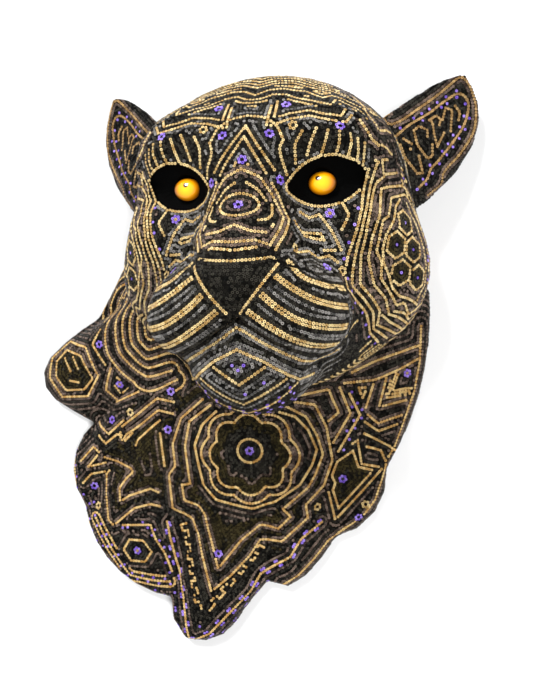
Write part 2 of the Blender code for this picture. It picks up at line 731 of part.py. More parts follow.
def eye_setting(name, side, finish):
    """Black putty bed: an almond plug with a dished front that follows the face, and a flat back."""
    outline = almond(FIT_GAP)
    centre = np.array([EYE_ACROSS, 0.0])
    count = len(outline)
    rings = []
    for share in SETTING_RINGS:
        flat = centre + share * (outline - centre)
        depth = face_depth(flat[:, 0], flat[:, 1]) - SETTING_DROP - SETTING_DISH * (1 - share ** 2)
        rings.append(np.stack([side * flat[:, 0], depth, flat[:, 1]], axis=-1))
    back = min(eye_floor() - SETTING_BACK, rings[0][:, 1].min() - SETTING_LEAST_EDGE)
    rings.append(np.stack([side * outline[:, 0], np.full(count, back), outline[:, 1]], axis=-1))
    ids = [np.arange(count) + count * ring for ring in range(len(rings))]
    loops = [[*ring, ring[0]] for ring in ids]
    faces = []
    for near, far in zip(loops[:2], loops[1:3]):
        faces += strip(near, far)
    faces += strip(loops[3], loops[0]) + [ids[2], ids[3][::-1]]
    return add_object(name, np.concatenate(rings), faces, finish)


def eye_dome(name, side, finish):
    """Glass cabochon: a domed front on a flat back with a short straight edge."""
    radius = GLASS_DIAMETER / 2
    base = eye_floor() + 2 * FIT_GAP + IRIS_THICKNESS
    profile = [(radius - GLASS_BEVEL, 0.0), (radius, GLASS_GIRDLE)]
    for share in GLASS_RINGS:
        rise = GLASS_GIRDLE + (GLASS_DOME - GLASS_GIRDLE) * share
        profile.append((radius * math.sqrt(1 - share ** 2), rise))
    return turned(name, side, base, profile, GLASS_DOME, finish)


def eye_iris(name, side, finish):
    """Painted disc behind the glass."""
    radius = GLASS_DIAMETER / 2 - IRIS_MARGIN
    profile = [(radius, 0.0), (radius, IRIS_THICKNESS)]
    return turned(name, side, eye_floor() + FIT_GAP, profile, IRIS_THICKNESS, finish)


def turned(name, side, base, profile, top, finish, sides=20):
    """A round piece about the eye's forward axis, from its flat back to its front middle."""
    turn = np.linspace(0, 2 * math.pi, sides, endpoint=False)
    rings = [np.stack([side * (GLASS_ACROSS + radius * np.cos(turn)), np.full(sides, base + rise),
                       radius * np.sin(turn)], axis=-1) for radius, rise in profile]
    ids = [np.arange(sides) + sides * ring for ring in range(len(rings))]
    loops = [[*ring, ring[0]] for ring in ids]
    faces = [ids[0][::-1]]
    for low, high in zip(loops[:-1], loops[1:]):
        faces += strip(low, high)
    points = np.concatenate(rings + [np.array([[side * GLASS_ACROSS, base + top, 0.0]])])
    faces += [(loops[-1][k], loops[-1][k + 1], len(points) - 1) for k in range(sides)]
    return add_object(name, points, faces, finish)


def hanging_batten(cavity, finish):
    """Wood bar across the back of the head, its ends shaped to the cavity."""
    inward = cavity - FIT_GAP * unit(cavity - HUB)
    room = hub_solid("cavity_room", inward, (len(cavity) - 1) // len(head_columns()))
    half = CRANIUM.half_width + CHEEK.half_width
    top = strap_top() + STRAP_SHEET
    corners = [(across, depth, height) for across in (-half, half)
               for depth in (BATTEN_RECESS, BATTEN_RECESS + BATTEN_THICKNESS)
               for height in (top - BATTEN_HEIGHT, top)]
    box = [(0, 1, 3, 2), (4, 6, 7, 5), (0, 4, 5, 1), (2, 3, 7, 6), (0, 2, 6, 4), (1, 5, 7, 3)]
    bar = add_object("hanging_batten", corners, box, finish, 20.0)
    cut(bar, room, "INTERSECT")
    return bar


def strap_top():
    """Height of the ring's hinge: the ring turned up puts its inside at the hanging point."""
    return HANG_ABOVE_EYES - RING_LENGTH + RING_WIRE / 2


def hinge_depth():
    return BATTEN_RECESS - FIT_GAP - STRAP_ROLL_BORE / 2 - STRAP_SHEET - ROLL_STAND_OFF


def strap_profile():
    """Edge of the rolled strap from the side: up the plate, round the roll and back on the other face."""
    roll = STRAP_ROLL_BORE / 2 + STRAP_SHEET / 2
    plate = BATTEN_RECESS - FIT_GAP - STRAP_SHEET / 2
    lean = math.asin(min((plate - hinge_depth()) / roll, 1.0))
    turns = np.linspace(lean, lean + STRAP_ROLL_TURN, 13)
    middle = [(hinge_depth() + roll * math.sin(turn), strap_top() - roll * math.cos(turn)) for turn in turns]
    middle = np.array([(plate, strap_top() - STRAP_LENGTH)] + middle)
    ahead = np.gradient(middle, axis=0)
    aside = unit(np.stack([-ahead[:, 1], ahead[:, 0]], axis=-1)) * STRAP_SHEET / 2
    return np.concatenate([middle + aside, (middle - aside)[::-1]])


def hanger_strap(finish):
    profile = strap_profile()
    count = len(profile)
    half = STRAP_WIDTH / 2
    sides = [np.insert(profile, 0, across, axis=1) for across in (-half, half)]
    ids = np.arange(count)
    faces = strip([*ids, 0], [*(ids + count), count]) + [ids[::-1], ids + count]
    return add_object("hanger_strap", np.concatenate(sides), faces, finish, 30.0)


def hanger_ring(finish):
    """D-shaped wire: a straight bar in the strap's roll, legs and a round end that hangs down."""
    half, corner = RING_WIDTH / 2, RING_CORNER
    path = [(-half + corner, 0.0), (0.0, 0.0), (half - corner, 0.0)]
    for turn in np.linspace(math.pi / 2, 0, 4)[1:]:
        path.append((half - corner + corner * math.cos(turn), corner - corner * math.sin(turn)))
    for turn in np.linspace(0, math.pi, 11):
        path.append((half * math.cos(turn), RING_LENGTH - RING_WIRE / 2 - half + half * math.sin(turn)))
    for turn in np.linspace(math.pi, math.pi / 2, 4)[:-1]:
        path.append((-half + corner + corner * math.cos(turn), corner - corner * math.sin(turn)))
    path = np.array(path)
    ahead = unit(np.roll(path, -1, axis=0) - np.roll(path, 1, axis=0))
    aside = np.stack([-ahead[:, 1], ahead[:, 0]], axis=-1)
    turn = np.linspace(0, 2 * math.pi, 8, endpoint=False)
    flat = path[:, None, :] + RING_WIRE / 2 * np.cos(turn)[None, :, None] * aside[:, None, :]
    out = np.broadcast_to(RING_WIRE / 2 * np.sin(turn), flat.shape[:2])
    points = np.stack([flat[..., 0], hinge_depth() + out, strap_top() - flat[..., 1]], axis=-1)
    ids = np.arange(points.shape[0] * points.shape[1]).reshape(points.shape[:2])
    ids = np.concatenate([ids, ids[:, :1]], axis=1)
    faces = []
    for row in range(len(path)):
        faces += strip(ids[row], ids[(row + 1) % len(path)])
    return add_object("hanger_ring", points.reshape(-1, 3), faces, finish, 60.0)


def hanger_screw(name, drop, finish):
    """A pan-head screw that holds the strap on the batten, turned about its own axis."""
    back = BATTEN_RECESS - FIT_GAP - STRAP_SHEET - FIT_GAP
    head, shank, end = SCREW_HEAD / 2, SCREW_SHANK / 2, back + SCREW_LENGTH
    stations = ((head - SCREW_HEAD_ROUND, back - SCREW_HEAD_HEIGHT), (head, back - SCREW_HEAD_HEIGHT / 2),
                (head, back), (shank, back), (shank, end - SCREW_POINT_LENGTH), (SCREW_POINT_RADIUS, end))
    turn = np.linspace(0, 2 * math.pi, SCREW_SIDES, endpoint=False)
    height = strap_top() - drop
    rings = [np.stack([radius * np.cos(turn), np.full(SCREW_SIDES, depth), height + radius * np.sin(turn)],
                      axis=-1) for radius, depth in stations]
    ids = [np.arange(SCREW_SIDES) + SCREW_SIDES * station for station in range(len(stations))]
    loops = [[*ring, ring[0]] for ring in ids]
    faces = [ids[0][::-1], ids[-1]]
    for near, far in zip(loops[:-1], loops[1:]):
        faces += strip(near, far)
    return add_object(name, np.concatenate(rings), faces, finish, 30.0)


def build():
    for item in list(bpy.data.objects):
        bpy.data.objects.remove(item, do_unlink=True)
    softwood = material("carved_softwood", (0.42, 0.29, 0.17), 0.8)
    beads = material("seed_beads", (0.05, 0.045, 0.03), 0.25)
    putty = material("black_putty", (0.006, 0.006, 0.006), 0.35)
    amber = material("amber_paint", (0.85, 0.42, 0.02), 0.3)
    glass = material("eye_glass", (0.9, 0.55, 0.08), 0.03)
    pine = material("pine", (0.55, 0.38, 0.2), 0.7)
    steel = material("zinc_steel", (0.62, 0.62, 0.6), 0.35, 1.0)

    core, cavity = head_core(softwood)
    head_block = filled_head("head_block", FIT_GAP)
    left_throat, left_mouth, left_cheek, left_nose = (180.0 - angle for angle in
                                                      (THROAT_ANGLE, MOUTH_ANGLE, CHEEK_ANGLE, NOSE_ANGLE))
    forehead = head_field_piece("forehead_beadwork", CHEEK_ANGLE, left_cheek, False, beads)
    head_field_piece("right_cheek_beadwork", THROAT_ANGLE, CHEEK_ANGLE, False, beads)
    head_field_piece("left_cheek_beadwork", left_cheek, left_throat, False, beads)
    head_field_piece("nose_beadwork", NOSE_ANGLE, left_nose, True, beads)
    head_field_piece("right_muzzle_beadwork", MOUTH_ANGLE, NOSE_ANGLE, True, beads)
    head_field_piece("left_muzzle_beadwork", left_nose, left_mouth, True, beads)
    head_field_piece("chin_beadwork", left_mouth, 360.0 + MOUTH_ANGLE, True, beads)

    collar_core(softwood)
    stops = np.cumsum((0,) + LOBE_COLUMNS)
    tongue, after = stops[list(TONGUE_LOBES)]
    collar_field_piece("collar_left_beadwork", 0, tongue, beads)
    collar_field_piece("collar_tongue_beadwork", tongue, after, beads)
    collar_field_piece("collar_right_beadwork", after, stops[-1], beads)

    for word, side in (("left", -1), ("right", 1)):
        opening = eye_cutter(f"{word}_eye_opening", side)
        cut(core, opening)
        cut(forehead, opening)
        setting = eye_setting(f"{word}_eye_setting", side, putty)
        middle = np.array([side * GLASS_ACROSS, eye_floor(), 0.0])
        pocket = rod(f"{word}_glass_pocket", middle, middle + EYE_HEIGHT * FORWARD,
                     GLASS_DIAMETER / 2 + FIT_GAP, None, 24)
        cut(setting, as_cutter(pocket))
        eye_iris(f"{word}_eye_iris", side, amber)
        eye_dome(f"{word}_eye_glass", side, glass)
        ear = ear_core(f"{word}_ear_core", side, softwood)
        wrap = ear_field_piece(f"{word}_ear_beadwork", side, beads)
        cut(ear, head_block)
        cut(wrap, head_block)
        start, end = ear_dowel_line(side)
        rod(f"{word}_ear_dowel", start, end, DOWEL_DIAMETER / 2, pine)
        axis = unit(end - start)
        bore = rod(f"{word}_dowel_bore", start - FIT_GAP * axis, end + FIT_GAP * axis,
                   DOWEL_DIAMETER / 2 + FIT_GAP, None)
        for bored in (ear, forehead, core):
            cut(bored, as_cutter(bore))

    batten = hanging_batten(cavity, pine)
    strap = hanger_strap(steel)
    hanger_ring(steel)
    for word, drop in zip(("upper", "lower"), SCREW_DROPS):
        hanger_screw(f"{word}_hanger_screw", drop, steel)
        middle = np.array([0.0, 0.0, strap_top() - drop])
        hole = rod(f"{word}_screw_hole", middle, middle + (BATTEN_RECESS + SCREW_LENGTH) * FORWARD,
                   SCREW_SHANK / 2 + FIT_GAP, None)
        cut(batten, as_cutter(hole))
        cut(strap, as_cutter(hole))


build()
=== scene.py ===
"""Looks of the beaded big cat head: seed beads in rows, glass eyes, wax, wood, hanger and a white wall."""
import math
from typing import Callable, NamedTuple

import bmesh
import bpy
import numpy as np
from mathutils import Matrix, Vector
from mathutils.bvhtree import BVHTree
from mathutils.kdtree import KDTree


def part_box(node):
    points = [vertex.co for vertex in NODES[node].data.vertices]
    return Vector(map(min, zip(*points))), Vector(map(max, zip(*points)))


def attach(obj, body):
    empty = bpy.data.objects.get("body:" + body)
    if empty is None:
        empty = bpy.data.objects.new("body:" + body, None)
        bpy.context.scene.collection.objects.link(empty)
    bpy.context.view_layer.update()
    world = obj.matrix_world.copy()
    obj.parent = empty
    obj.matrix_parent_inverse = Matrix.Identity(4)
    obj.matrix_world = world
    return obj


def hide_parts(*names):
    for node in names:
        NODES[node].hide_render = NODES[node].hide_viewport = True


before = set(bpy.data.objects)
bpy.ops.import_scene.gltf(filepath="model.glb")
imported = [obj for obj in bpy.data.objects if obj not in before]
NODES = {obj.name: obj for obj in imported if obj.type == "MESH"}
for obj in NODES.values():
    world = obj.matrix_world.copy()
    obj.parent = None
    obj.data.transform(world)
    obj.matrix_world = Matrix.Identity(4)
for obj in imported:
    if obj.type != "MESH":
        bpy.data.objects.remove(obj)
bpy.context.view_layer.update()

# Heights and places in the frame, in metres: the eye line, a hub on the wall behind the face, and a distance
# that is well outside the mask. The middle between the ears leans to the right as it goes up.
MM = 0.001
EYE_LINE = -43 * MM
HUB = Vector((0, 0, -83 * MM))
OUTSIDE = 400 * MM
EAR_LEAN = 0.04

# The camera stands to the viewer's right of the mask, level with its middle.
CAMERA_PLACE = Vector((120.67, -584.62, -136)) * MM
CAMERA_TARGET = Vector((-14.3, 0, -136)) * MM
CAMERA_LENS = 44.76
CAMERA_SENSOR = 36
CAMERA_ROLL = -0.3

# The light of the room, where the lamps point, and the lamps: power in watts, width in metres, whether it
# shows in gloss, and place in metres.
ROOM_LIGHT = 0.2
LAMP_TARGET = Vector((0, 0, -120 * MM))
LAMPS = (("window", 35, 0.4, True, (-0.42, -1.32, 0.95)),
         ("fill", 24, 0.6, False, (0.65, -1.25, -0.35)),
         ("behind", 20, 0.8, True, (0.5, 1.4, 0.3)))

# The wall, in metres: its width, the height of its middle, and how far out it starts to fade and is gone.
WALL_WIDTH = 1.2
WALL_MIDDLE = -0.15
WALL_FADES = 0.32
WALL_GONE = 0.58

# The glass eyes: how far a dome spreads, its height to width, its bulge, its divisions, the angle of a sharp
# edge in degrees, how far behind its rim it is cut and each pupil's place from the middle in millimetres, and
# the strength of a painted glow in the eye's own colours, though the eye is no lamp.
EYE_SPREAD = 1.04
EYE_HEIGHT = 0.82
EYE_BULGE = 0.75
EYE_SEGMENTS = 48
EYE_RINGS = 32
EYE_SHARP_EDGE = 40
EYE_CUT_MARGIN = 0.1
PUPILS = {"left": (0.0, 2.0), "right": (-2.0, 2.4)}
EYE_PAINTED_GLOW = 0.05

# A seed bead of size 11/0, and how the rows are laid, in millimetres.
BEAD_WIDTH = 2.1
BEAD_HOLE = 0.7
BEAD_RISE = 0.66
BEAD_LIFT = 0.12
BEAD_SIDES = 7
BEAD_SECTION_SIDES = 6
ROW_PITCH = 2.0
BEAD_PITCH = 2.08
LEAST_SPACING = 1.56
BARE_SPOT = 1.6
MOST_ROWS = 22
PETALS = 6
SIZE_SPREAD = 0.04
TILT_SPREAD = 0.10
BEADS_A_PIECE = 3500

# How finely a line is followed: points to a degree or millimetre, and steps from point to point of a curve.
LINE_STEPS = 2
CURVE_STEPS = 6

# How the air-facing side of the bead fields is found and divided. Lengths are millimetres, and the shares say
# how squarely a face turns to another or to the wall.
LOOK_FROM = 0.05
COVERED_WITHIN = 0.9
SEAM_WIDTH = 2.2
SEAM_WELD = 1.6
OPPOSED_SHARE = -0.8
WALLWARD_SHARE = 0.9
SIDEWAYS_SHARE = 0.05
EYE_HOLE_REACH = 25
EYE_HOLE_DEPTH = 50
BED_CUTS = 5
BED_SMOOTHING = 3

# Which edges of a bed get rows of their own, in millimetres.
SHORTEST_EDGE = 40
LONGEST_EYE_EDGE = 200
EYE_EDGE_REACH = 30
WALL_EDGE_DEPTH = 4

# Where a Mix node that blends colours has its two inputs and its result.
MIX_FIRST, MIX_SECOND, MIX_RESULT = 6, 7, 2

HEAD_FIELDS = ("forehead_beadwork", "nose_beadwork", "left_muzzle_beadwork", "right_muzzle_beadwork",
               "chin_beadwork", "left_cheek_beadwork", "right_cheek_beadwork")
COLLAR_FIELDS = ("collar_left_beadwork", "collar_tongue_beadwork", "collar_right_beadwork")
EAR_FIELDS = ("left_ear_beadwork", "right_ear_beadwork")

# Bead colours: G gold, K black, S hematite, V violet, O olive bronze, M mauve bronze, A amber gold and B
# brown gold. In a line, "beside" gives the rows that lie next to it, each a run of colours, over and over, and
# "within" gives the rows inside a closed one.
COLOURS = "GKSVOMAB"


class Line(NamedTuple):
    """A line of beads that the rows about it follow."""
    points: tuple
    beside: str
    beads: str = "G"
    within: str = ""
    curved: bool = False
    double: bool = False


def lerp(first, second, share):
    return tuple(a + (b - a) * share for a, b in zip(first, second))


def ring(centre, across, up, corners=24, lobes=0, lobe_depth=0.0, turn=0.0, **style):
    """A closed line: an oval, a polygon or a lobed flower."""
    points = []
    for k in range(corners):
        angle = turn + 2 * math.pi * k / corners
        reach = 1 + lobe_depth * (2 * abs(math.cos(lobes / 2 * angle)) - 1)
        points.append((centre[0] + across * reach * math.cos(angle),
                       centre[1] + up * reach * math.sin(angle)))
    return Line(tuple(points + points[:1]), **style)


def fret(first, last, teeth, reach, **style):
    """A stepped line with square teeth to one side."""
    length = math.dist(first, last)
    aside = ((last[1] - first[1]) / length * reach, (first[0] - last[0]) / length * reach)
    points = []
    for k in range(teeth):
        low, high = lerp(first, last, k / teeth), lerp(first, last, (k + 0.5) / teeth)
        points += [low, (low[0] + aside[0], low[1] + aside[1]),
                   (high[0] + aside[0], high[1] + aside[1]), high]
    return Line(tuple(points + [last]), **style)


# Places on the head are degrees to the viewer's right and degrees up, as seen from the hub on the wall. Each
# line is laid on both sides.
MUZZLE = [Line(((0, -3.6), (5, -3.3), (8.5, -2.7), (10, -4), (5, -10.5), (0, -16.5)), "K"),
          Line(((12, -3.5), (15, -7), (20, -9), (27, -10.5)), "K S S", curved=True, double=True),
          Line(((9.5, -7), (14, -10), (19, -12.3), (27, -14.5)), "K S S", curved=True, double=True),
          Line(((6.6, -10.6), (10, -13.3), (16, -16.4), (27, -19)), "K S S", curved=True, double=True),
          Line(((3.6, -14), (8, -17), (15, -20.6), (25, -23.6)), "K S S", curved=True, double=True),
          Line(((0, -18.3), (6, -22), (13, -25.5), (21, -29.5), (29, -29)), "S K K", curved=True)]
CHIN = [Line(((0, -22.8), (6, -25.4), (11, -28.8), (15, -32), (20, -33.5)), "S S K"),
        Line(((0, -30.3), (3, -28.7), (6.3, -26.9)), "K S S"),
        Line(((0, -36), (6, -33), (11.5, -30.6)), "K S KKVK"),
        Line(((0, -40.5), (8, -37), (14.5, -33)), "KKKV K")]
FOREHEAD = [Line(((0, 32.5), (4, 26.5), (8.5, 21)), "K S K"),
            Line(((0, 29), (3.6, 23.6), (6.3, 19.6)), "K S K"),
            Line(((0, 36), (5, 35.4), (9, 33), (11, 29)), "K S", curved=True),
            Line(((7, 41), (6, 32.5), (13, 35), (19, 35), (24, 32.6), (29, 32), (31, 34)), "S K K"),
            Line(((9, 43), (8.2, 35.6), (13, 37.3), (19, 37.3), (24, 34.6), (28, 34), (29.6, 36)), "K S K"),
            Line(((11, 29), (10, 26), (12, 21)), "K S", curved=True),
            Line(((16.5, 31), (14.5, 28), (14.5, 24)), "K S", curved=True),
            Line(((20.5, 31), (19, 28.6), (18, 26)), "K S", curved=True),
            Line(((23.6, 30), (23, 28), (22, 25.8)), "K S"),
            Line(((26.6, 29.2), (26.7, 27), (26, 25)), "K S"),
            Line(((29.7, 29), (30, 27), (29.6, 24.6)), "K S"),
            Line(((32.2, 28.4), (32.2, 24)), "K S"),
            Line(((34.4, 27.6), (34.6, 23)), "K S")]
BRIDGE = [Line(((0, 20), (5, 18), (8, 14), (11, 8), (10, 4), (8, 0), (5, 1), (0, 0.6)), "M G K M"),
          ring((0, 10.3), 5, 3.2, beside="M K M", within="K M"),
          Line(((1.6, 16.4), (4.6, 14.6), (6.5, 12)), "K"),
          Line(((5.2, 6), (7, 6.4), (8.2, 8), (8, 11)), "K"),
          Line(((0, 4.6), (3.6, 3.2), (7, 3)), "M")]
UNDER_EYE = [Line(((16, 11.5), (19, 10), (22, 11), (25, 6), (28, 0), (23, 0)), "S K"),
             Line(((14, 8), (16, 5), (22, 5), (23, 3), (17, 4), (14, 8)), "S K", within="K"),
             Line(((29, 14), (30, 10), (28, 6)), "K"),
             Line(((15, -1.2), (18, -0.4), (21, -2.6), (24.5, -1.6), (27, -3.4)), "S K")]
CHEEK = [Line(((37, 23), (35, 17), (34, 12), (32, 6), (31, 2), (30, -2), (29, -11), (34, -15), (39, -19),
               (43, -26), (50, -30)), "KKKKV M K"),
         Line(((44, 26), (41, 25), (43, 22), (40, 20), (37, 13), (35, 7), (34, -1), (35, -10), (40, -14),
               (44, -18), (45, -23), (59, -27), (66, -25)), "M K G"),
         Line(((65, 10), (61.5, 17), (57, 21), (53, 21.5), (42, 18.5), (39, 10), (36.4, 3), (36.4, -2),
               (40, -10), (45, -14), (48, -19), (53, -20), (63, -23), (69, -20)), "M K G"),
         Line(((63.5, 6), (61, 13), (57.5, 18), (54, 19), (45, 16), (42.5, 10), (40, 8.5), (39, 4),
               (38.5, 0), (41, -3), (42, -8), (45, -11), (50, -16), (53, -15), (58, -19), (67, -15)),
              "M M G"),
         Line(((53, 23), (62, 14), (66, 3), (67, -8), (65, -14)), "M GGV M G"),
         Line(((39.5, 24), (37.5, 18), (35.6, 12.5), (33.5, 6.5), (32.5, 1), (32, -5), (32, -10.5),
               (37, -14.5), (41.5, -18.5), (44, -24.5), (54, -28.5)), "M K"),
         Line(((50, 16.5), (46.5, 13.5), (44.5, 9), (41.2, 5), (40.6, 1), (41.6, -3), (44.6, -7),
               (46.5, -10.5), (50, -13), (54, -13.5), (61, -15.5)), "M"),
         Line(((54, 16), (58.5, 10), (60.5, 4), (62, -2), (62.5, -9), (60, -14)), "M K"),
         Line(((45.5, -19.5), (50, -21.8), (61, -25), (68, -22.5)), "M"),
         Line(((50, -18), (55, -18.4), (60.5, -21), (68.5, -17.5)), "M"),
         Line(((29, -23.4), (35, -21)), "K"),
         Line(((42, -33), (46, -28.5)), "K"),
         Line(((47, -36), (52, -31.5)), "K G")]
HEXAGON_CENTRES = ((50.5, 9.2), (45.8, 2.2), (54, 1.4), (49, -5.8), (57, -7))
CHEEK_HEXAGONS = [ring(centre, 4.2, 3.9, 6, turn=math.pi / 6, beside="M", within="O")
                  for centre in HEXAGON_CENTRES]
EAR_ROOT = [Line(((41, 49), (38, 38), (40, 32), (50, 36)), "M K"),
            Line(((33.5, 33), (36, 29.5), (39.5, 28), (47, 28.5)), "M K"),
            Line(((39, 25), (43.5, 22.6), (50, 24.5)), "M K")]
CROWN = [Line(((0, 44.5), (3, 45), (7, 47), (12, 46.6), (18, 43), (26, 38), (29, 42), (36, 36)), "K G"),
         Line(((0, 47), (5, 49.6), (11, 50), (20, 47.6), (25, 43), (29, 45), (38, 38)), "K G"),
         Line(((0, 51), (7, 54), (16, 54), (24, 50), (30, 49), (42, 40)), "K G")]
HEAD_LINES = [*MUZZLE, *CHIN, *FOREHEAD, *BRIDGE, *UNDER_EYE, *CHEEK, *CHEEK_HEXAGONS, *EAR_ROOT, *CROWN]
HEAD_FLOWERS = [((0, -27.2), "VS"), ((1.4, -26.2), "V"), ((0, 22.6), "KV"), ((10, 19), "KV"),
                ((0, 10.3), "KV"), ((25, 11), "GV"), ((7, 30.5), "KV"), ((14, 33), "KG"), ((12, 41.4), "KV"),
                ((27, 30.8), "KV"), ((14, 0), "KG"), ((23, -5), "SV"), ((28.5, -6), "KG"),
                *[(centre, "V") for centre in HEXAGON_CENTRES]]

# Places on the collar and the ears are millimetres to the viewer's right and above the eye line.
CHEST = [ring((-18, -164), 8, 8, beside="K", within="K"),
         ring((-18.5, -167), 25.5, 25.5, 64, 8, 0.08, beside="M K", within="O O O M O O"),
         ring((-18.5, -167), 31.5, 31.5, 64, 8, 0.06, beside="M K"),
         Line(((-40, -138), (-50, -147), (-56, -161), (-54, -176), (-52, -188), (-42, -198), (-18, -204),
               (-3, -199), (14, -187), (22, -174), (26, -163), (21, -150), (13, -141), (3, -138)), "K M"),
         Line(((-44, -134), (-59, -145), (-63, -162), (-61, -188), (-67, -189), (-66, -200), (-55, -204),
               (-51, -209), (-47, -229), (-44, -247), (-27, -226), (-15, -216), (-2, -218), (7, -209),
               (2, -204), (19, -189), (24, -180), (30, -166), (27, -154), (20, -141), (7, -134)),
              "M O O O O O K"),
         Line(((-49, -130), (-65, -143), (-72, -161), (-71, -176), (-76, -182), (-75, -206), (-68, -209),
               (-62, -213), (-57, -223), (-54, -241), (-50, -264), (-36, -252), (-23, -238), (-16, -227),
               (-9, -227), (0, -227), (18, -210), (17, -201), (29, -188), (36, -170), (33, -148),
               (26, -133), (11, -131)), "M K O O M O O"),
         Line(((-80, -216), (-77, -245), (-72, -270), (-69, -303), (-54, -296), (-38, -279), (-24, -264),
               (-17, -252), (5, -238), (13, -225), (26, -214)), "KKKKVV M K"),
         fret((-67, -217), (-58, -277), 6, 3.5, beside="K"),
         fret((-14, -233), (-52, -278), 5, 3.5, beside="K")]
LEFT_MANE = [Line(((-111, -150), (-98, -141), (-83, -130), (-70, -132)), "M K O"),
             Line(((-114, -156), (-112, -161), (-109, -156), (-96, -148), (-82, -138), (-71, -140)),
                  "M O O"),
             Line(((-101, -163), (-99, -159), (-89, -151), (-81, -145)), "O"),
             Line(((-81, -154), (-79, -176)), "O M O"),
             Line(((-128, -173), (-106, -179), (-104, -182), (-110, -187), (-116, -194), (-116, -204),
                   (-108, -199), (-91, -193), (-85, -195)), "M O O O"),
             Line(((-126, -183), (-129, -186), (-127, -218), (-123, -222), (-105, -208), (-92, -204),
                   (-85, -205)), "M K"),
             ring((-105, -239), 11, 9, 6, beside="K M K", within="K"),
             Line(((-138, -218), (-126, -239), (-113, -258), (-97, -260), (-83, -261)), "KKKV A K M K"),
             Line(((-115, -221), (-93, -219), (-90, -229), (-84, -239), (-81, -253)), "KKKV M K"),
             Line(((-106, -62), (-113, -76), (-112, -94), (-106, -104), (-91, -115), (-71, -111)),
                  "M K A", curved=True),
             Line(((-114, -66), (-121, -79), (-121, -96), (-115, -107), (-104, -118), (-88, -125),
                   (-67, -117)), "M K A", curved=True),
             Line(((-172, -103), (-158, -91), (-139, -95), (-130, -115), (-142, -130), (-164, -131),
                   (-174, -117), (-172, -103)), "M K", within="M K"),
             Line(((-167, -105), (-158, -97), (-144, -101), (-135, -117), (-144, -125), (-160, -126),
                   (-168, -116), (-167, -105)), "M K", within="O"),
             Line(((-159, -103), (-154, -112)), "O"),
             Line(((-151, -102), (-147, -110)), "O"),
             Line(((-155, -119), (-148, -120)), "O"),
             Line(((-127, -83), (-133, -93), (-123, -107)), "K M"),
             Line(((-119, -110), (-126, -125), (-118, -134), (-95, -125)), "M K"),
             Line(((-118, -122), (-115, -128), (-108, -124)), "K"),
             Line(((-135, -149), (-123, -156), (-110, -146)), "M K"),
             Line(((-132, -158), (-126, -163), (-113, -154), (-111, -161), (-101, -152)), "K"),
             Line(((-149, -177), (-137, -166), (-132, -170), (-143, -181), (-128, -177)), "M K"),
             Line(((-148, -193), (-141, -186), (-126, -183)), "K M")]
RIGHT_MANE = [Line(((32, -193), (35, -213), (67, -177), (54, -173), (52, -157), (49, -159)), "K M K"),
              Line(((39, -171), (49, -164), (52, -175), (61, -178), (38, -204), (35, -191), (37, -186),
                    (35, -181), (39, -171)), "K", within="O"),
              Line(((37, -158), (48, -139), (42, -122)), "M K"),
              Line(((40, -164), (54, -140), (48, -126)), "KKKV K"),
              Line(((59, -140), (65, -146), (80, -141)), "M K"),
              Line(((57, -145), (65, -151.5), (77, -147)), "K M"),
              Line(((63, -120), (58, -135)), "M"),
              Line(((71, -116), (66, -135), (83, -131)), "M K"),
              Line(((77, -113), (72, -127), (85, -125)), "A K M K"),
              Line(((56, -153), (65, -158), (72, -162), (77, -167)), "K M"),
              Line(((57, -162), (66, -165), (69, -172)), "K M"),
              Line(((54, -122), (59, -122), (56, -129), (54, -122)), "K", within="K"),
              Line(((16, -127), (35, -123), (37, -129), (41, -138), (33, -145)), "M K"),
              Line(((50, -112), (64, -105), (80, -99), (91, -95)), "M K"),
              Line(((45, -119), (64, -117), (80, -110), (92, -103)), "M K")]
HEM = [Line(((93, -82), (92, -105), (88, -126), (81, -146), (75, -162), (70, -171), (66, -186), (62, -198),
             (54, -209), (42, -218), (30, -227), (20, -240), (9, -252), (-3, -260)), "M K"),
       Line(((-156, -176), (-155, -198), (-148, -212), (-143, -228), (-136, -242), (-126, -253),
             (-112, -264), (-95, -271)), "KKKV M")]
COLLAR_LINES = [line._replace(beads="A") for line in (*CHEST, *LEFT_MANE, *RIGHT_MANE, *HEM)]
COLLAR_FLOWERS = [((-18, -164), "KV"), ((-72, -125), "KV"), ((-75, -151), "KV"), ((-114, -121), "GV"),
                  ((-120, -146), "KV"), ((-140, -195), "KV"), ((-105, -239), "GV"), ((42, -183), "KV"),
                  ((51, -210), "KV"), ((84, -113), "GV"), ((-127, -93), "KV"), ((-43, -236), "KV"),
                  ((-104, -140), "KG"), ((-136, -209), "KG"), ((24, -203), "KG"), ((56, -201), "KG")]
EAR_LINES = [Line(((76, 49), (73, 46), (77, 42), (85, 46), (96, 56), (109, 68), (119, 76), (124, 73),
                   (128, 64), (129, 54), (127, 42), (119, 28), (111, 18), (108, 13), (107, 8), (99, 0)),
                  "M K K", curved=True),
             Line(((80, 34), (88, 42), (98, 50), (108, 60), (116, 66), (121, 66), (124, 62), (124, 56),
                   (121, 46), (114, 34), (106, 22), (101, 16), (99, 10), (94, 4)), "KKKV K K", curved=True),
             Line(((91, 39), (94, 42), (99, 40), (99, 36)), "K"),
             Line(((91, 39), (93, 30), (99, 22), (102, 24), (102, 31)), "K"),
             Line(((100, 47), (104, 51), (107, 49), (106, 45)), "K"),
             Line(((100, 47), (102, 46), (103, 38), (105, 30), (109, 40)), "K"),
             Line(((108, 49), (110, 57), (114, 56), (113, 42)), "K"),
             Line(((116, 59), (119, 55), (118, 50)), "K"),
             Line(((85, 33), (90, 30), (89, 27)), "K"),
             Line(((83, 29), (86, 21), (93, 12), (96, 13), (94, 23)), "K")]
RIGHT_EAR = [line._replace(beads="B") for line in EAR_LINES]
LEFT_EAR = [line._replace(points=tuple((2 * EAR_LEAN * up - across, up) for across, up in line.points))
            for line in RIGHT_EAR]


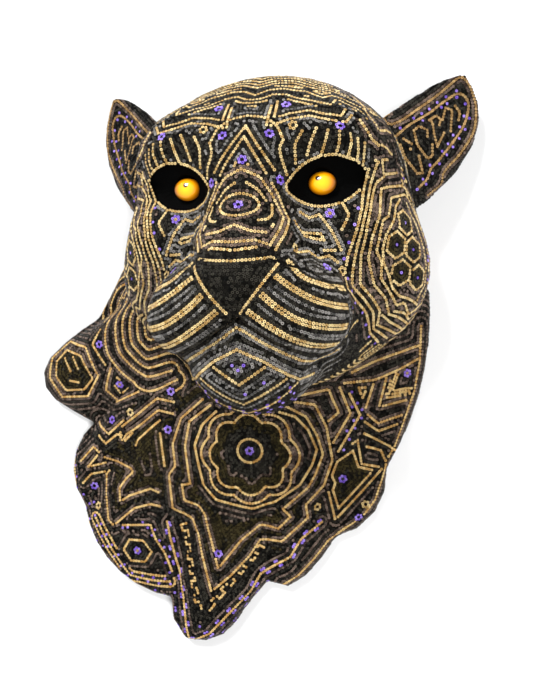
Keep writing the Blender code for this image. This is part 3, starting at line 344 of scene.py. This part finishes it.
def shader_colour(hexadecimal):
    """sRGB hex to the linear values that a shader takes."""
    parts = [int(hexadecimal[k:k + 2], 16) / 255 for k in (1, 3, 5)]
    return (*[part / 12.92 if part <= 0.04045 else ((part + 0.055) / 1.055) ** 2.4 for part in parts], 1.0)


def add_node(tree, kind, settings=None, links=None):
    """A shader node with its settings, and links into its inputs from other nodes' outputs."""
    node = tree.nodes.new(kind)
    for name, value in (settings or {}).items():
        if name in node.inputs:
            node.inputs[name].default_value = value
        else:
            setattr(node, name, value)
    for socket, source in (links or {}).items():
        tree.links.new(source, node.inputs[socket])
    return node


def new_material(name, **sockets):
    """A material with the shader's own sockets set, and its node tree to add to."""
    material = bpy.data.materials.new(name)
    material.use_nodes = True
    shader = material.node_tree.nodes["Principled BSDF"]
    for socket, value in sockets.items():
        shader.inputs[socket.replace("_", " ")].default_value = value
    return material, material.node_tree, shader


def bead_glass(name, deep, pale, roughness, metallic, specular):
    """Seed bead glass: painted shade darkens each bead from its crest down into its hole and to its foot, so
    that it reads as a bright ring about a dark hole; each bead is also a little paler or deeper than the next.
    """
    material, tree, shader = new_material(name, Roughness=roughness, Metallic=metallic,
                                          Specular_IOR_Level=specular)
    layers = []
    # The second layer is painted shade: near-black at a bead's foot and in its hole, full colour on its crest.
    for attribute, low, high in (("bead_tint", deep, pale), ("bead_painted_shade", "#1c1c1c", "#ffffff")):
        value = add_node(tree, "ShaderNodeAttribute", {"attribute_name": attribute})
        mix = add_node(tree, "ShaderNodeMix", {"data_type": "RGBA"}, {"Factor": value.outputs["Fac"]})
        mix.inputs[MIX_FIRST].default_value = shader_colour(low)
        mix.inputs[MIX_SECOND].default_value = shader_colour(high)
        layers.append(mix.outputs[MIX_RESULT])
    both = add_node(tree, "ShaderNodeMix", {"data_type": "RGBA", "blend_type": "MULTIPLY", "Factor": 1.0},
                    {MIX_FIRST: layers[0], MIX_SECOND: layers[1]})
    tree.links.new(both.outputs[MIX_RESULT], shader.inputs["Base Color"])
    return material


def mottled(name, deep, pale, grain, **sockets):
    """A finish that wanders between two tones, in patches of a size across, deep and up in millimetres."""
    material, tree, shader = new_material(name, **sockets)
    place = add_node(tree, "ShaderNodeTexCoord")
    patches = add_node(tree, "ShaderNodeMapping", {"Scale": [1 / (size * MM) for size in grain]},
                       {"Vector": place.outputs["Object"]})
    noise = add_node(tree, "ShaderNodeTexNoise", {"Scale": 1.0, "Detail": 3.0},
                     {"Vector": patches.outputs["Vector"]})
    mix = add_node(tree, "ShaderNodeMix", {"data_type": "RGBA"}, {"Factor": noise.outputs["Fac"]})
    mix.inputs[MIX_FIRST].default_value = shader_colour(deep)
    mix.inputs[MIX_SECOND].default_value = shader_colour(pale)
    tree.links.new(mix.outputs[MIX_RESULT], shader.inputs["Base Color"])
    return material


def amber_eye_glass():
    """Glass over amber paint: yellow in the middle, orange to brown at the rim, with a small dark pupil.

    The paint also gives off a faint painted glow.
    """
    material, tree, shader = new_material("amber_eye_glass", Roughness=0.3, Specular_IOR_Level=0.1,
                                          Coat_Weight=1.0, Coat_Roughness=0.02, Emission_Strength=EYE_PAINTED_GLOW)
    iris = ((0.0, "#f6bc08"), (0.5, "#e5a004"), (0.8, "#ac6404"), (1.0, "#341802"))
    pupil = ((0.0, "#0b0704"), (0.13, "#0b0704"), (0.16, "#8f7a48"), (0.22, "#ffffff"), (1.0, "#ffffff"))
    layers = []
    for attribute, steps in (("from_middle", iris), ("from_pupil", pupil)):
        reach = add_node(tree, "ShaderNodeAttribute", {"attribute_name": attribute})
        ramp = add_node(tree, "ShaderNodeValToRGB", links={"Fac": reach.outputs["Fac"]})
        points = ramp.color_ramp.elements
        while len(points) < len(steps):
            points.new(0.5)
        for point, (at, colour) in zip(points, steps):
            point.position, point.color = at, shader_colour(colour)
        layers.append(ramp.outputs["Color"])
    paint = add_node(tree, "ShaderNodeMix", {"data_type": "RGBA", "blend_type": "MULTIPLY", "Factor": 1.0},
                     {MIX_FIRST: layers[0], MIX_SECOND: layers[1]})
    # The paint also lights the glass from within: a painted glow, as the eye is no lamp.
    for socket in ("Base Color", "Emission Color"):
        tree.links.new(paint.outputs[MIX_RESULT], shader.inputs[socket])
    return material


class Bed(NamedTuple):
    """The air-facing surface of some bead fields."""
    points: np.ndarray
    normals: np.ndarray
    corners: np.ndarray
    fields: np.ndarray
    tree: BVHTree


class Beadwork(NamedTuple):
    """Bead fields that are laid as one, with their lines and flowers, and how places on them are given."""
    fields: tuple
    lines: list
    flowers: list
    edges: Callable
    aim: Callable
    flat: Callable
    mirrored: bool


class Run(NamedTuple):
    """A line's points on a bed, its style, and its outline where it is closed and filled."""
    points: np.ndarray
    style: Line
    outline: list


def all_solids():
    shapes = bmesh.new()
    for node in NODES.values():
        shapes.from_mesh(node.data)
    tree = BVHTree.FromBMesh(shapes)
    shapes.free()
    return tree


def out_of_sight(face, solids):
    """Whether a field's face lies against another solid, in an eye hole or on the wall."""
    middle, normal = face.calc_center_median(), face.normal
    in_eye_hole = (abs(normal.y) < SIDEWAYS_SHARE and abs(middle.z - EYE_LINE) < EYE_HOLE_REACH * MM
                   and middle.y < -EYE_HOLE_DEPTH * MM)
    _, facing, _, away = solids.ray_cast(middle + LOOK_FROM * MM * normal, normal, SEAM_WIDTH * MM)
    covered = away is not None and (away < COVERED_WITHIN * MM or facing.dot(normal) < OPPOSED_SHARE)
    return covered or in_eye_hole or normal.y > WALLWARD_SHARE


def bead_bed(fields, solids):
    """The faces of bead fields that meet the air, welded into one surface and divided finely."""
    bed = bmesh.new()
    owner = bed.faces.layers.int.new("owner")
    for number, field in enumerate(fields):
        seen = len(bed.faces)
        bed.from_mesh(NODES[field].data)
        bed.faces.ensure_lookup_table()
        for face in bed.faces[seen:]:
            face[owner] = number
    bed.normal_update()
    hidden = [face for face in bed.faces if out_of_sight(face, solids)]
    bmesh.ops.delete(bed, geom=hidden, context="FACES")
    seams = [vert for vert in bed.verts if vert.is_boundary]
    bmesh.ops.remove_doubles(bed, verts=seams, dist=SEAM_WELD * MM)
    bmesh.ops.subdivide_edges(bed, edges=bed.edges, cuts=BED_CUTS, use_grid_fill=True)
    before = BVHTree.FromBMesh(bed)
    inner = [vert for vert in bed.verts if not vert.is_boundary]
    for _ in range(BED_SMOOTHING):
        bmesh.ops.smooth_vert(bed, verts=inner, factor=0.5, use_axis_x=True, use_axis_y=True, use_axis_z=True)
    for vert in inner:
        near, normal = before.find_nearest(vert.co)[:2]
        if (vert.co - near).dot(normal) < 0:
            vert.co = near
    bmesh.ops.triangulate(bed, faces=bed.faces)
    bed.normal_update()
    bed.verts.index_update()
    surface = Bed(np.array([vert.co for vert in bed.verts]), np.array([vert.normal for vert in bed.verts]),
                  np.array([[vert.index for vert in face.verts] for face in bed.faces]),
                  np.array([face[owner] for face in bed.faces]), BVHTree.FromBMesh(bed))
    loops = boundary_loops(bed)
    bed.free()
    return surface, loops


def boundary_loops(bed):
    """Closed runs of points along the edges of a surface."""
    ahead = {}
    for edge in bed.edges:
        if edge.is_boundary:
            for here, there in (edge.verts, reversed(edge.verts)):
                ahead.setdefault(here.index, []).append(there.index)
    bed.verts.ensure_lookup_table()
    loops, seen = [], set()
    for start in ahead:
        if start in seen:
            continue
        run, here = [], start
        while here is not None:
            seen.add(here)
            run.append(np.array(bed.verts[here].co))
            here = next((there for there in ahead[here] if there not in seen), None)
        loops.append(np.array(run + run[:1]))
    return loops


def from_hub(point):
    """A ray from outside the mask to the hub, through a place in degrees."""
    right, up = (math.radians(value) for value in point)
    ray = Vector((math.sin(right) * math.cos(up), -math.cos(right) * math.cos(up), math.sin(up)))
    return HUB + OUTSIDE * ray, -ray


def from_front(point):
    """A ray from the front to the wall, through a place in millimetres."""
    return Vector((point[0] * MM, -OUTSIDE, EYE_LINE + point[1] * MM)), Vector((0, 1, 0))


def hub_degrees(points):
    away = points - np.array(HUB)
    right = np.degrees(np.arctan2(away[:, 0], -away[:, 1]))
    return np.stack([right, np.degrees(np.arcsin(away[:, 2] / np.linalg.norm(away, axis=1)))], axis=-1)


def front_millimetres(points):
    return np.stack([points[:, 0], points[:, 2] - EYE_LINE], axis=-1) / MM


def smooth_run(points):
    """Extra points on a curve through the given ones."""
    points = [np.array(point, float) for point in points]
    ends = [2 * points[0] - points[1]] + points + [2 * points[-1] - points[-2]]
    run = []
    for a, b, c, d in zip(ends, ends[1:], ends[2:], ends[3:]):
        for share in np.linspace(0, 1, CURVE_STEPS, endpoint=False):
            run.append(0.5 * (2 * b + (c - a) * share + (2 * a - 5 * b + 4 * c - d) * share ** 2
                              + (3 * b - a - 3 * c + d) * share ** 3))
    return run + [points[-1]]


def on_bed(line, bed, aim, side):
    """A line's points on the surface, close together. A double line gives two runs, side by side."""
    points = smooth_run(line.points) if line.curved else line.points
    places = [(side * across, up) for across, up in points]
    run = []
    for first, second in zip(places, places[1:]):
        steps = max(int(math.dist(first, second) * LINE_STEPS), 2)
        for share in np.linspace(0, 1, steps, endpoint=False):
            run.append(bed.tree.ray_cast(*aim(lerp(first, second, share)))[0])
    run.append(bed.tree.ray_cast(*aim(places[-1]))[0])
    run = np.array([point for point in run if point is not None])
    if not line.double or len(run) < 2:
        return [run]
    normals = np.array([bed.tree.find_nearest(Vector(point))[1] for point in run])
    aside = np.cross(np.gradient(run, axis=0), normals)
    aside *= ROW_PITCH / 2 * MM / np.linalg.norm(aside, axis=1, keepdims=True)
    return [run - aside, run + aside]


def run_length(points):
    return np.linalg.norm(np.diff(points, axis=0), axis=1).sum()


def spaced(run, pitch, closed=False):
    """Evenly spaced places along a run of points, with any values that go with them."""
    lengths = np.concatenate([[0], np.cumsum(np.linalg.norm(np.diff(run[:, :3], axis=0), axis=1))])
    count = int(round(lengths[-1] / pitch))
    if count < 1:
        return run[:0]
    stops = count if closed else count + 1
    at = np.linspace(0, lengths[-1], stops, endpoint=not closed)
    return np.stack([np.interp(at, lengths, run[:, k]) for k in range(run.shape[1])], axis=-1)


def contour_rows(bed, height, level):
    """Runs of points and normals along which a value over the surface has one level."""
    value = height - level
    above = value[bed.corners] > 0
    count = above.sum(axis=1)
    crossing = (count == 1) | (count == 2)
    corners, above, count = bed.corners[crossing], above[crossing], count[crossing]
    if not len(corners):
        return []
    lone = np.where(count == 1, above.argmax(axis=1), (~above).argmax(axis=1))
    pick = np.arange(len(corners))
    tip, left, right = (corners[pick, (lone + k) % 3] for k in range(3))
    both = np.concatenate([bed.points, bed.normals], axis=1)
    keys, values = [], []
    for other in (left, right):
        share = (value[tip] / (value[tip] - value[other]))[:, None]
        values.append(both[tip] * (1 - share) + both[other] * share)
        keys.append(np.minimum(tip, other).astype(np.int64) * len(bed.points) + np.maximum(tip, other))
    unique, first, inverse = np.unique(np.concatenate(keys), return_index=True, return_inverse=True)
    places = np.concatenate(values)[first]
    near = [[] for _ in unique]
    for a, b in inverse.reshape(2, -1).T:
        near[a].append(b)
        near[b].append(a)
    rows, seen = [], np.zeros(len(unique), bool)
    ends = [k for k in range(len(unique)) if len(near[k]) == 1]
    for start in ends + list(range(len(unique))):
        if seen[start]:
            continue
        run, here = [], start
        while here is not None:
            seen[here] = True
            run.append(here)
            here = next((there for there in near[here] if not seen[there]), None)
        closed = len(near[start]) > 1 and start in near[run[-1]] and len(run) > 2
        rows.append((places[run + run[:1]] if closed else places[run], closed))
    return rows


class Strewn:
    """The beads laid so far: places, normals and colours, none closer than the least spacing."""

    def __init__(self):
        self.places, self.normals, self.colours, self.cells = [], [], [], {}

    def cell(self, place):
        return tuple(int(math.floor(value / (BEAD_PITCH * MM))) for value in place)

    def room(self, place, spacing):
        i, j, k = self.cell(place)
        for a in (i - 1, i, i + 1):
            for b in (j - 1, j, j + 1):
                for c in (k - 1, k, k + 1):
                    for x, y, z in self.cells.get((a, b, c), ()):
                        if (x - place[0]) ** 2 + (y - place[1]) ** 2 + (z - place[2]) ** 2 < spacing ** 2:
                            return False
        return True

    def lay(self, place, normal, colour, spacing=LEAST_SPACING):
        """Adds a bead where there is room for it and it keeps clear of the wall."""
        place = tuple(float(value) for value in place)
        if place[1] < -BEAD_WIDTH / 2 * MM and self.room(place, spacing * MM):
            self.cells.setdefault(self.cell(place), []).append(place)
            self.places.append(place)
            self.normals.append(tuple(normal))
            self.colours.append(colour)


def inside(points, outline):
    """Whether points lie inside a closed outline, both as seen in the outline's own two directions."""
    outline = np.array(outline, float)
    within = np.zeros(len(points), bool)
    for (x0, y0), (x1, y1) in zip(outline, outline[1:]):
        cross = (y0 > points[:, 1]) != (y1 > points[:, 1])
        reach = x0 + (points[:, 1] - y0) * (x1 - x0) / (y1 - y0 + 1e-12)
        within ^= cross & (points[:, 0] < reach)
    return within


def nearest_of(points):
    """A tree that finds the nearest of some points."""
    tree = KDTree(len(points))
    for number, point in enumerate(points):
        tree.insert(point, number)
    tree.balance()
    return tree


def bead_runs(work, bed, loops):
    """The runs that rows follow: each line, on both sides of a mirrored work, and some edges of the bed."""
    runs = []
    for line in work.lines:
        for side in ((1, -1) if work.mirrored else (1,)):
            outline = [(side * across, up) for across, up in line.points] if line.within else None
            runs += [Run(points, line, outline) for points in on_bed(line, bed, work.aim, side)
                     if len(points) > 1]
    for loop in loops:
        style = work.edges(loop) if run_length(loop) > SHORTEST_EDGE * MM else None
        if style:
            runs.append(Run(loop, style, None))
    return runs


def lay_flowers(work, bed, near_point, strewn):
    """Single beads, and petals in a ring about a middle bead."""
    for (across, up), colours in work.flowers:
        for side in ((1, -1) if work.mirrored and across else (1,)):
            place = bed.tree.ray_cast(*work.aim((side * across, up)))[0]
            if place is None:
                continue
            normal = Vector(bed.normals[near_point.find(place)[1]])
            strewn.lay(place, normal, colours[0])
            aside = normal.orthogonal().normalized()
            for k in range(PETALS if len(colours) > 1 else 0):
                turned = Matrix.Rotation(math.tau / PETALS * k, 3, normal) @ aside
                strewn.lay(bed.tree.find_nearest(place + BEAD_PITCH * MM * turned)[0], normal, colours[1])


def lay_rows(work, bed, runs, strewn):
    """Row after row out from the lines, each bead in the colours of the line that is nearest to it."""
    near_line = nearest_of(np.concatenate([run.points for run in runs]))
    owners = np.repeat(np.arange(len(runs)), [len(run.points) for run in runs])
    height = np.array([near_line.find(point)[2] for point in bed.points])
    for row in range(1, MOST_ROWS + 1):
        for points, closed in contour_rows(bed, height, row * ROW_PITCH * MM):
            beads = spaced(points, BEAD_PITCH * MM, closed)
            if not len(beads):
                continue
            places = work.flat(beads[:, :3])
            owner = np.array([owners[near_line.find(bead[:3])[1]] for bead in beads])
            for number in np.unique(owner):
                mine, run = owner == number, runs[number]
                held = inside(places[mine], run.outline) if run.outline else np.zeros(mine.sum(), bool)
                for k, bead, within in zip(np.flatnonzero(mine), beads[mine], held):
                    rows = (run.style.within if within else run.style.beside).split()
                    colours = rows[(row - 1) % len(rows)]
                    strewn.lay(bead[:3], bead[3:], colours[k % len(colours)])


def string_beads(work, solids):
    """Lays every bead of a beadwork: flowers, lines, the rows about them, and black in bare spots."""
    bed, loops = bead_bed(work.fields, solids)
    runs = bead_runs(work, bed, loops)
    near_point = nearest_of(bed.points)
    strewn = Strewn()
    lay_flowers(work, bed, near_point, strewn)
    for run in runs:
        colours = run.style.beads
        for k, place in enumerate(spaced(run.points, BEAD_PITCH * MM)):
            strewn.lay(place, bed.normals[near_point.find(place)[1]], colours[k % len(colours)])
    lay_rows(work, bed, runs, strewn)
    for places, normals in ((bed.points, bed.normals),
                            (bed.points[bed.corners].mean(axis=1), bed.normals[bed.corners].mean(axis=1))):
        for place, normal in zip(places, normals):
            strewn.lay(place, normal, "K", BARE_SPOT)
    owner = np.array([bed.fields[bed.tree.find_nearest(place)[2]] for place in strewn.places])
    return strewn, owner


def select_open_edges(piece):
    """Selects the edges about the holes of a mesh that is being edited."""
    bpy.ops.mesh.select_all(action="DESELECT")
    model = bmesh.from_edit_mesh(piece.data)
    for edge in model.edges:
        edge.select_set(edge.is_boundary)
    bmesh.update_edit_mesh(piece.data)


def bead_shape():
    """One seed bead, hole up: the upper half of a ring on a flat underside, as its lower half is in wax."""
    bpy.ops.object.select_all(action="DESELECT")
    wall = (BEAD_WIDTH - BEAD_HOLE) / 4 * MM
    bpy.ops.mesh.primitive_torus_add(major_segments=BEAD_SIDES, minor_segments=BEAD_SECTION_SIDES,
                                     major_radius=BEAD_WIDTH / 2 * MM - wall, minor_radius=wall)
    bead = bpy.context.object
    bpy.ops.object.mode_set(mode="EDIT")
    bpy.ops.mesh.select_all(action="DESELECT")
    model = bmesh.from_edit_mesh(bead.data)
    for face in model.faces:
        face.select_set(face.calc_center_median().z < 0)
    bmesh.update_edit_mesh(bead.data)
    bpy.ops.mesh.delete(type="FACE")
    select_open_edges(bead)
    bpy.ops.mesh.bridge_edge_loops()
    bpy.ops.mesh.select_all(action="SELECT")
    bpy.ops.mesh.normals_make_consistent(inside=False)
    # The section's topmost corners lie one side up from the middle.
    top = wall * math.sin(math.tau / BEAD_SECTION_SIDES)
    bpy.ops.transform.resize(value=(1, 1, BEAD_RISE * MM / top))
    bpy.ops.object.mode_set(mode="OBJECT")
    points = np.array([vert.co for vert in bead.data.vertices])
    faces = np.array([list(face.vertices) for face in bead.data.polygons])
    bpy.data.objects.remove(bead)
    return points, faces


def bead_piece(name, places, normals, colours, shape, materials, chance):
    """One mesh of many beads, each turned to the surface, with its colour as a material, its own tint and its
    painted shade from crest to foot.
    """
    points, faces = shape
    count = len(places)
    lean = chance.normal(0, TILT_SPREAD, (count, 3))
    up = normals + lean
    up /= np.linalg.norm(up, axis=1, keepdims=True)
    aside = np.cross(up, chance.normal(0, 1, (count, 3)))
    aside /= np.linalg.norm(aside, axis=1, keepdims=True)
    over = np.cross(up, aside)
    size = 1 + chance.normal(0, SIZE_SPREAD, (count, 1, 1))
    turned = (points[None, :, :1] * aside[:, None] + points[None, :, 1:2] * over[:, None]
              + points[None, :, 2:] * up[:, None])
    all_points = (places[:, None] + BEAD_LIFT * MM * normals[:, None] + turned * size).reshape(-1, 3)
    all_faces = (faces[None] + (np.arange(count) * len(points))[:, None, None]).reshape(-1, faces.shape[1])
    mesh = bpy.data.meshes.new(name)
    mesh.vertices.add(len(all_points))
    mesh.vertices.foreach_set("co", all_points.ravel())
    mesh.loops.add(all_faces.size)
    mesh.loops.foreach_set("vertex_index", all_faces.ravel().astype(np.int32))
    mesh.polygons.add(len(all_faces))
    mesh.polygons.foreach_set("loop_start", np.arange(0, all_faces.size, faces.shape[1], dtype=np.int32))
    for material in materials:
        mesh.materials.append(material)
    index = np.array([COLOURS.index(colour) for colour in colours], np.int32)
    mesh.polygons.foreach_set("material_index", np.repeat(index, len(faces)))
    mesh.update(calc_edges=True)
    mesh.shade_smooth()
    # Painted shade: 1 on a bead's crest, 0 at its foot and down in its hole.
    painted_shade = points[:, 2] / points[:, 2].max()
    for kind, values in (("bead_tint", np.repeat(chance.random(count), len(points))),
                         ("bead_painted_shade", np.tile(painted_shade, count))):
        mesh.attributes.new(kind, "FLOAT", "POINT").data.foreach_set("value", values.astype(np.float32))
    piece = bpy.data.objects.new(name, mesh)
    bpy.context.scene.collection.objects.link(piece)
    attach(piece, "mask")


def lay_beadwork(work, solids, shape, materials):
    """The beads of each field, in pieces from left to right."""
    strewn, owner = string_beads(work, solids)
    places, normals = np.array(strewn.places), np.array(strewn.normals)
    colours = np.array(strewn.colours)
    for number, field in enumerate(work.fields):
        mine = np.flatnonzero(owner == number)
        mine = mine[np.argsort(places[mine, 0], kind="stable")]
        parts = max(math.ceil(len(mine) / BEADS_A_PIECE), 1)
        for part, chosen in enumerate(np.array_split(mine, parts)):
            name = field.replace("beadwork", "beads") + (f"_{part + 1}" if parts > 1 else "")
            chance = np.random.default_rng(len(name) + part + number)
            bead_piece(name, places[chosen], normals[chosen], colours[chosen], shape, materials, chance)


def head_edges(loop):
    """Gold round each eye. Other edges take the rows that reach them."""
    at_eye_line = abs(loop.mean(axis=0)[2] - EYE_LINE) < EYE_EDGE_REACH * MM
    return Line((), "S K K", "G") if at_eye_line and run_length(loop) < LONGEST_EYE_EDGE * MM else None


def collar_edges(loop):
    """Gold close to the wall edge."""
    return Line((), "K A K M K", "K") if np.median(loop[:, 1]) > -WALL_EDGE_DEPTH * MM else None


def ear_edges(_):
    """Black and mauve along every edge."""
    return Line((), "K K M", "K")


def make_eye(side, finish):
    """A glass dome, painted behind, with the distances that its paint follows."""
    low, high = (Vector(corner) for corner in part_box(side + "_eye_glass"))
    middle = (low + high) / 2
    half = EYE_SPREAD * (high.x - low.x) / 2
    bpy.ops.object.select_all(action="DESELECT")
    bpy.ops.mesh.primitive_uv_sphere_add(segments=EYE_SEGMENTS, ring_count=EYE_RINGS, radius=half,
                                         location=(middle.x, high.y, middle.z))
    eye = bpy.context.object
    eye.name = side + "_eye_dome"
    eye.scale.y, eye.scale.z = EYE_BULGE * (high.y - low.y) / half, EYE_HEIGHT
    bpy.ops.object.transform_apply(location=True, rotation=True, scale=True)
    bpy.ops.object.mode_set(mode="EDIT")
    bpy.ops.mesh.select_all(action="DESELECT")
    model = bmesh.from_edit_mesh(eye.data)
    for vert in model.verts:
        vert.select_set(vert.co.y > high.y + EYE_CUT_MARGIN * MM)
    bmesh.update_edit_mesh(eye.data)
    bpy.ops.mesh.delete(type="VERT")
    select_open_edges(eye)
    bpy.ops.mesh.edge_face_add()
    bpy.ops.object.mode_set(mode="OBJECT")
    bpy.ops.object.shade_smooth_by_angle(angle=math.radians(EYE_SHARP_EDGE))
    places = np.array([vert.co for vert in eye.data.vertices])
    for name, (across, up) in (("from_middle", (0, 0)), ("from_pupil", PUPILS[side])):
        away = np.hypot(places[:, 0] - middle.x - across * MM, places[:, 2] - middle.z - up * MM) / half
        eye.data.attributes.new(name, "FLOAT", "POINT").data.foreach_set("value", away.astype(np.float32))
    eye.data.materials.append(finish)
    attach(eye, "mask")
    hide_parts(side + "_eye_glass", side + "_eye_iris")


def looked_at(tree):
    """1 on the rays that show the background to the eye: straight, in a reflection or through glass."""
    path = add_node(tree, "ShaderNodeLightPath")
    seen = path.outputs["Is Camera Ray"]
    for ray in ("Is Glossy Ray", "Is Transmission Ray"):
        either = add_node(tree, "ShaderNodeMath", {"operation": "MAXIMUM"}, {0: seen, 1: path.outputs[ray]})
        seen = either.outputs[0]
    return seen


def make_wall():
    """A white wall behind the mask that keeps its shadow and fades into the white room.

    From behind it can't be seen, and it stops no light.
    """
    bpy.ops.object.select_all(action="DESELECT")
    bpy.ops.mesh.primitive_plane_add(size=WALL_WIDTH, location=(0, 1 * MM, WALL_MIDDLE),
                                     rotation=(math.pi / 2, 0, 0))
    wall = bpy.context.object
    wall.name = "white_wall"
    # Matt emulsion on plaster: white without gloss, so that only the soft shadow shows.
    paint, tree, shader = new_material("matt_white_wall_paint", Base_Color=shader_colour("#dedede"),
                                       Roughness=0.9, Emission_Color=shader_colour("#ffffff"),
                                       Emission_Strength=0.05)
    side = add_node(tree, "ShaderNodeNewGeometry")
    front = add_node(tree, "ShaderNodeMath", {"operation": "SUBTRACT", "use_clamp": True},
                     {0: looked_at(tree), 1: side.outputs["Backfacing"]})
    place = add_node(tree, "ShaderNodeTexCoord")
    nearness = add_node(tree, "ShaderNodeTexGradient", {"gradient_type": "SPHERICAL"},
                        {"Vector": place.outputs["Object"]})
    fade = add_node(tree, "ShaderNodeMapRange", {"From Min": 1 - WALL_GONE, "From Max": 1 - WALL_FADES},
                    {"Value": nearness.outputs["Fac"]})
    shown = add_node(tree, "ShaderNodeMath", {"operation": "MULTIPLY"},
                     {0: front.outputs[0], 1: fade.outputs["Result"]})
    tree.links.new(shown.outputs[0], shader.inputs["Alpha"])
    wall.data.materials.append(paint)


def make_light():
    """A white studio: soft light all round, a window high on the left, a fill on the right, a lamp behind."""
    world = bpy.data.worlds.new("white_studio")
    bpy.context.scene.world = world
    world.use_nodes = True
    tree = world.node_tree
    level = add_node(tree, "ShaderNodeMapRange", {"To Min": ROOM_LIGHT, "To Max": 1.0},
                     {"Value": looked_at(tree)})
    background = tree.nodes["Background"]
    background.inputs["Color"].default_value = (1, 1, 1, 1)
    tree.links.new(level.outputs["Result"], background.inputs["Strength"])
    for name, power, size, gloss, place in LAMPS:
        light = bpy.data.lights.new(name, "AREA")
        light.energy, light.size = power, size
        lamp = bpy.data.objects.new(name, light)
        lamp.location, lamp.visible_glossy = place, gloss
        lamp.rotation_euler = (LAMP_TARGET - lamp.location).to_track_quat("-Z", "Y").to_euler()
        bpy.context.scene.collection.objects.link(lamp)


def make_camera():
    lens = bpy.data.cameras.new("camera")
    lens.lens, lens.sensor_width = CAMERA_LENS, CAMERA_SENSOR
    camera = bpy.data.objects.new("camera", lens)
    camera.location = CAMERA_PLACE
    camera.rotation_euler = (CAMERA_TARGET - CAMERA_PLACE).to_track_quat("-Z", "Y").to_euler()
    camera.rotation_euler.rotate_axis("Z", math.radians(CAMERA_ROLL))
    bpy.context.scene.collection.objects.link(camera)
    bpy.context.scene.camera = camera


def bead_colours():
    """Drawn and cut glass, fire polished, in the order of COLOURS: tones, roughness, metallic and gloss."""
    return [
        # Clear glass with a gilded hole: pale, warm rings that carry the drawing on the face.
        bead_glass("gold_lined_glass_bead", "#b9914f", "#fbe0a2", 0.2, 0.12, 0.35),
        # Opaque black glass: a near-black ground; the paler beads among them are painted glints, and each
        # bead's
        #         # faint ring is painted shade and highlight.
        bead_glass("black_glass_bead", "#030302", "#3c3932", 0.12, 0.0, 0.07),
        # Black glass with a grey metal lustre: steel-grey rows between the gold ones.
        bead_glass("hematite_glass_bead", "#403e3c", "#9b9792", 0.16, 0.15, 0.25),
        # Opaque violet glass: small, clear spots of colour.
        bead_glass("violet_glass_bead", "#7350c8", "#b497ff", 0.16, 0.0, 0.3),
        # Dark glass with a bronze lustre: a ground that is greener than the black.
        bead_glass("olive_bronze_glass_bead", "#131007", "#453c20", 0.14, 0.05, 0.1),
        # Brown glass with a dull lustre: quiet rows that soften the edge of a gold line.
        bead_glass("mauve_bronze_glass_bead", "#352a24", "#8b776a", 0.16, 0.1, 0.15),
        # Amber glass with a gilded hole: a deeper gold on the collar.
        bead_glass("amber_gold_glass_bead", "#c4924b", "#ffdb94", 0.2, 0.12, 0.35),
        # Brown glass with a gilded hole: a dim, old gold on the ears.
        bead_glass("brown_gold_glass_bead", "#8f6c3c", "#cfa970", 0.2, 0.12, 0.3)]


def node_finishes():
    """The finish of each node that stays in sight, by words in its name."""
    return {
        # Dark beeswax, painted near-black so that it also stands for the shade in the gaps between beads: a
        # dull
        #         # bed that shows only between beads.
        ("beadwork",): mottled("beeswax_with_painted_gap_shade", "#020201", "#060504", (4, 4, 4), Roughness=0.7,
                               Specular_IOR_Level=0.05),
        # Softwood, carved and left bare: warm brown with long, soft streaks up the mask.
        ("core",): mottled("carved_softwood", "#8a6740", "#b08a5c", (9, 9, 60), Roughness=0.75),
        # Sawn pine: paler and yellower than the carving, with streaks along the bar.
        ("dowel", "batten"): mottled("sawn_pine", "#b08850", "#d2ae78", (70, 8, 5), Roughness=0.65),
        # Black putty, smoothed by hand: matt almonds that swallow the light round the eyes.
        ("setting",): mottled("black_putty", "#010101", "#040404", (6, 6, 6), Roughness=0.8,
                              Specular_IOR_Level=0.03),
        # Steel, plated with zinc: cool grey with a soft, slightly cloudy shine.
        ("strap", "ring", "screw"): mottled("zinc_plated_steel", "#8f8f8d", "#b9b9b6", (5, 5, 5),
                                            Roughness=0.34, Metallic=1.0)}


make_camera()
make_light()
make_wall()
solids = all_solids()
shape = bead_shape()
materials = bead_colours()
for words, finish in node_finishes().items():
    for name, node in NODES.items():
        if any(word in name for word in words):
            node.data.materials.clear()
            node.data.materials.append(finish)
glass = amber_eye_glass()
for side in PUPILS:
    make_eye(side, glass)
works = [Beadwork(HEAD_FIELDS, HEAD_LINES, HEAD_FLOWERS, head_edges, from_hub, hub_degrees, True),
         Beadwork(COLLAR_FIELDS, COLLAR_LINES, COLLAR_FLOWERS, collar_edges, from_front, front_millimetres,
                  False)]
for field, lines in zip(EAR_FIELDS, (LEFT_EAR, RIGHT_EAR)):
    works.append(Beadwork((field,), lines, [], ear_edges, from_front, front_millimetres, False))
for work in works:
    lay_beadwork(work, solids, shape, materials)

bpy.context.scene.view_settings.view_transform = "Standard"
